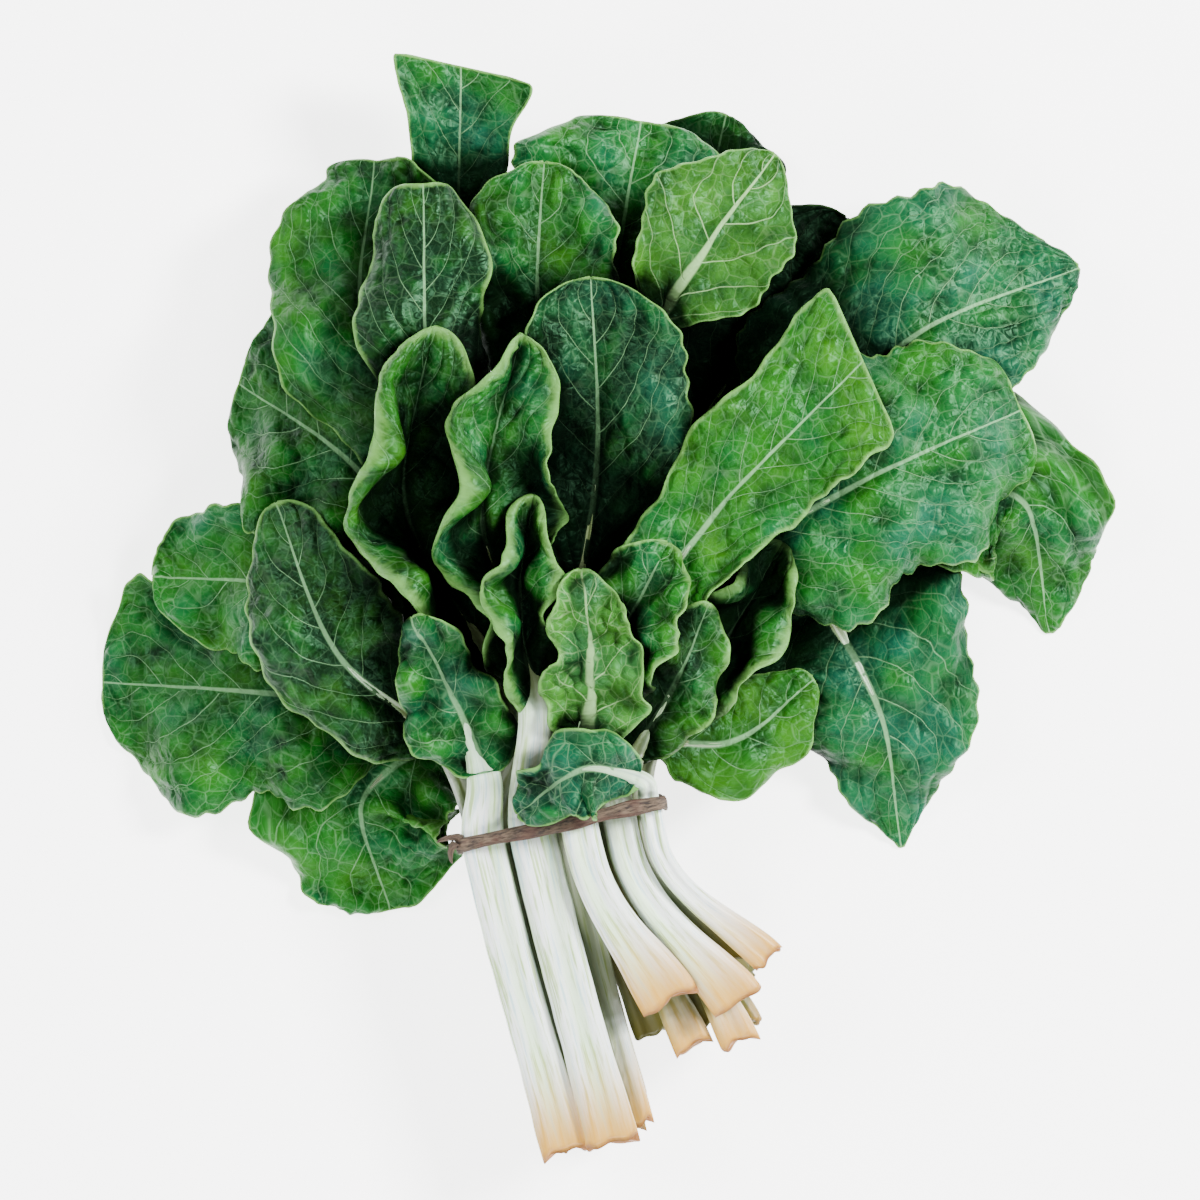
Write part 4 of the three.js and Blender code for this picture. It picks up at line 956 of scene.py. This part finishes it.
upper_skin = leaf_material("leaf_upper_skin", linear("021204"), linear("12550f"), linear("7fb07c"), 0.6)
lower_skin = leaf_material("leaf_underside", linear("143a0f"), linear("3c7828"), linear("8fb878"), 0.85)
print("leaf nodes:", len(upper_skin.node_tree.nodes))

# %% [markdown]
# A fresh stalk is crisp and watery. Light goes a little way in and comes out again, which gives the eye a
# soft milky white, faintly green and blue. Threads run along it, tan and green ones showing through, and
# the cut end dries brown.


# %% The stalk's skin
def stalk_material():
    """A crisp, watery stalk: near white and faintly blue, streaked green and tan, browned at the cut, painted
    darker where little sky is left.
    """
    material, shader, add = new_finish("leaf_stalk_skin")
    uv = add("UVMap", uv_map="surface")
    marks_and_shade = add("SeparateXYZ", add("Attribute", attribute_name="marks_and_shade", out=1), out=ALL)
    stain = add("SeparateXYZ", add("Attribute", attribute_name="stain", out=1))
    long_uv = add("Mapping", uv, (0, 0, 0), (0, 0, 0), (1.0, 0.045, 1.0))
    streaks = add("TexNoise", long_uv, UV_MM / 1.6, 4.0, 0.65)
    broad = add("TexNoise", long_uv, UV_MM / 6, 2.0)
    spots = add("TexNoise", uv, UV_MM / 3, 3.0)
    tall = add("MapRange", broad, 0.38, 0.62, 0.0, 1.0, **SOFT)
    colour = add("Mix", tall, linear("f8fffd"), linear("dcf6d2"), data_type="RGBA")
    thread = add("MapRange", streaks, 0.5, 0.64, 0.0, 0.85, **SOFT)
    cool = add("MapRange", streaks, 0.46, 0.34, 0.0, 0.6, **SOFT)
    # Green creeps into the stalk below the blade, and deepens along the midrib.
    near_leaf = add("MapRange", marks_and_shade[1], 18.0, -14.0, 0.0, 0.85, **SOFT)
    # The cut end dries to tan, further up along some streaks, and the stalks of the middle are stained.
    end = add("Math", streaks, -22.0, marks_and_shade[0], operation="MULTIPLY_ADD")
    dry = add("MapRange", end, 22.0, -12.0, 0.0, 1.0, **SOFT)
    low_part = add("MapRange", marks_and_shade[0], 74.0, 54.0, 0.0, 1.4, **SOFT)
    stained = add("Math", stain, streaks, operation="MULTIPLY")
    stained = add("Math", stained, low_part, operation="MULTIPLY", use_clamp=True)
    dry = add("Math", dry, stained, operation="MAXIMUM")
    cut_edge = add("Math", spots, -4.0, marks_and_shade[0], operation="MULTIPLY_ADD")
    cut = add("MapRange", cut_edge, 0.6, -2.4, 0.0, 0.9, **SOFT)
    # Painted shade: a dull olive where the pile hides the sky.
    gloom = add("MapRange", marks_and_shade[2], 0.28, 0.7, 0.0, 0.9, **SOFT)
    for mask, over in ((thread, "9fbf6c"), (cool, "93c4d6"), (near_leaf, "8cb184"), (dry, "cf9c3c"),
                       (cut, "8f5b30"), (gloom, "4a5428")):
        colour = add("Mix", mask, colour, linear(over), data_type="RGBA")
    set_inputs(shader, {
        "Base Color": colour,
        "Roughness": 0.36,
        "IOR": 1.4,
        "Subsurface Weight": 0.25,
        "Subsurface Radius": (0.004, 0.004, 0.003),
        "Normal": add("Bump", 0.5, 0.0005, BUMP_FILTER, streaks)})
    return material


stalk_skin = stalk_material()
print("stalk nodes:", len(stalk_skin.node_tree.nodes))

# %% [markdown]
# The tie is dull twisted plant fibre. It has no shine, and gives the eye a broken brown with dark gaps and
# paler, greyer threads along it.


# %% The tie's fibre
def tie_material():
    """Dull twisted fibre: brown, with darker gaps and paler, greyer threads along the band."""
    material, shader, add = new_finish("brown_fibre")
    uv = add("UVMap", uv_map="surface")
    stretched = add("Mapping", uv, (0, 0, 0), (0, 0, 0.3), (0.35, 1.0, 1.0))
    threads = add("TexNoise", stretched, UV_MM / 1.5, 4.0, 0.7)
    stains = add("TexNoise", uv, UV_MM / 8, 3.0)
    pale = add("MapRange", threads, 0.35, 0.65, 0.0, 1.0, **SOFT)
    colour = add("Mix", pale, linear("1a110c"), linear("6a5846"), data_type="RGBA")
    red = add("MapRange", stains, 0.45, 0.65, 0.0, 0.6, **SOFT)
    colour = add("Mix", red, colour, linear("44231a"), data_type="RGBA")
    set_inputs(shader, {
        "Base Color": colour,
        "Roughness": 0.75,
        "Normal": add("Bump", 0.8, 0.0006, BUMP_FILTER, threads)})
    return material


fibre = tie_material()
print("tie nodes:", len(fibre.node_tree.nodes))

# %% [markdown]
# ## The bunch
#
# Each fine leaf and stalk takes the place of its solid, and all of them ride on the one body. The two ends of
# the tie's knot are new pieces.

# %% Make the bunch
SLOTS = {name: "leaf_deep" for name in ("right_dark", "centre_dark", "cup_inner")}
SLOTS |= {name: "leaf_bright" for name in ("diagonal", "left_front", "right_far", "low_right", "dome")}
SLOTS |= {name: "leaf_pale" for name in ("top_pale", "front_pale")}


def dress(piece, slot, *materials):
    """Gives a piece its materials and its body; the slot is not used."""
    for material in materials:
        piece.data.materials.append(material)
    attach(piece, "root")


for number, each in enumerate(LEAVES):
    blade = make_blade(each, 11 * number + 100)
    dress(blade, SLOTS.get(each["name"], "leaf_middle"), upper_skin, lower_skin)
    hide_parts(f"{each['name']}_blade")
    stalk = make_stalk(each, 13 * number + 500)
    dress(stalk, "stalk", stalk_skin)
    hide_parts(f"{each['name']}_stalk")

tie, tie_ring, tie_out = make_tie(np.concatenate([each["at_tie"] for each in LEAVES]))
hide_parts("tie")
knot = np.argmax(tie_out @ np.array([-0.8, 0.6]))
knot_place = ACROSS * tie_ring[knot, 0] + np.array([0, 0, tie_ring[knot, 1]])
dress(tie, "tie", fibre)
dress(make_tie_end("tie_knot_end_a", knot_place, ALONG * 0.5 - ACROSS, 7.5, 3), "tie", fibre)
dress(make_tie_end("tie_knot_end_b", knot_place, -ALONG * 0.7 - ACROSS * 0.7, 6, 8), "tie", fibre)
print("leaves, stalks and tie made")

# %% [markdown]
# ## Floor, light and camera
#
# The floor is plain and nearly white. A soft light high on the right models the puckers. Two weaker and
# broader ones, from the left and from the front, and a pale sky fill the hollows. The camera looks straight
# down from far away, so the leaves keep their sizes.

# %% Floor
HALF_FLOOR = 3.0
floor_mesh = bpy.data.meshes.new("floor")
corners = [(x * HALF_FLOOR, y * HALF_FLOOR, 0) for x, y in ((-1, -1), (1, -1), (1, 1), (-1, 1))]
floor_mesh.from_pydata(corners, [], [(0, 1, 2, 3)])
floor = bpy.data.objects.new("floor", floor_mesh)
bpy.context.scene.collection.objects.link(floor)
# White paper that glows a little, so that it gives the eye a plain white with only faint shadows.
paper, shader, _ = new_finish("white_paper")
set_inputs(shader, {"Base Color": linear("f7f7f7"), "Roughness": 0.9,
                    "Emission Color": (1, 1, 1, 1), "Emission Strength": 3.6})
floor.data.materials.append(paper)
print("floor:", 2 * HALF_FLOOR, "m wide")


# %% Lights
def area_light(name, place, size, power):
    """A square soft light, pitched and turned by two arctangents so that it points at the bunch's middle."""
    data = bpy.data.lights.new(name, "AREA")
    data.size = size
    data.energy = power
    lamp = bpy.data.objects.new(name, data)
    lamp.location = place
    aim = np.array([0.01, 0.07, 0.04]) - np.array(place)
    pitch = math.atan2(math.hypot(aim[0], aim[1]), -aim[2])
    lamp.rotation_euler = (pitch, 0, math.atan2(-aim[0], aim[1]))
    bpy.context.scene.collection.objects.link(lamp)


area_light("key", (1.0, 0.5, 1.05), 0.4, 62)
area_light("fill_left", (-1.0, 0.5, 1.1), 0.8, 24)
area_light("fill_front", (0.0, -1.1, 1.1), 0.8, 28)
world = bpy.data.worlds.new("sky")
world.use_nodes = True
set_inputs(world.node_tree.nodes["Background"], {"Color": (1, 1, 1, 1), "Strength": 0.14})
bpy.context.scene.world = world
print("lights:", len(bpy.data.lights))

# %% Camera
DISTANCE = 3.0
FRAME_WIDTH = 0.36
LEVEL = 0.03  # the height at which the frame has that width
SENSOR = 36
camera_data = bpy.data.cameras.new("camera")
camera_data.sensor_width = SENSOR
camera_data.lens = SENSOR * (DISTANCE - LEVEL) / FRAME_WIDTH
camera_data.clip_end = 20
camera = bpy.data.objects.new("camera", camera_data)
camera.location = (0.0117, 0.0669, DISTANCE)
bpy.context.scene.collection.objects.link(camera)
bpy.context.scene.camera = camera
print("lens:", round(camera_data.lens), "mm")
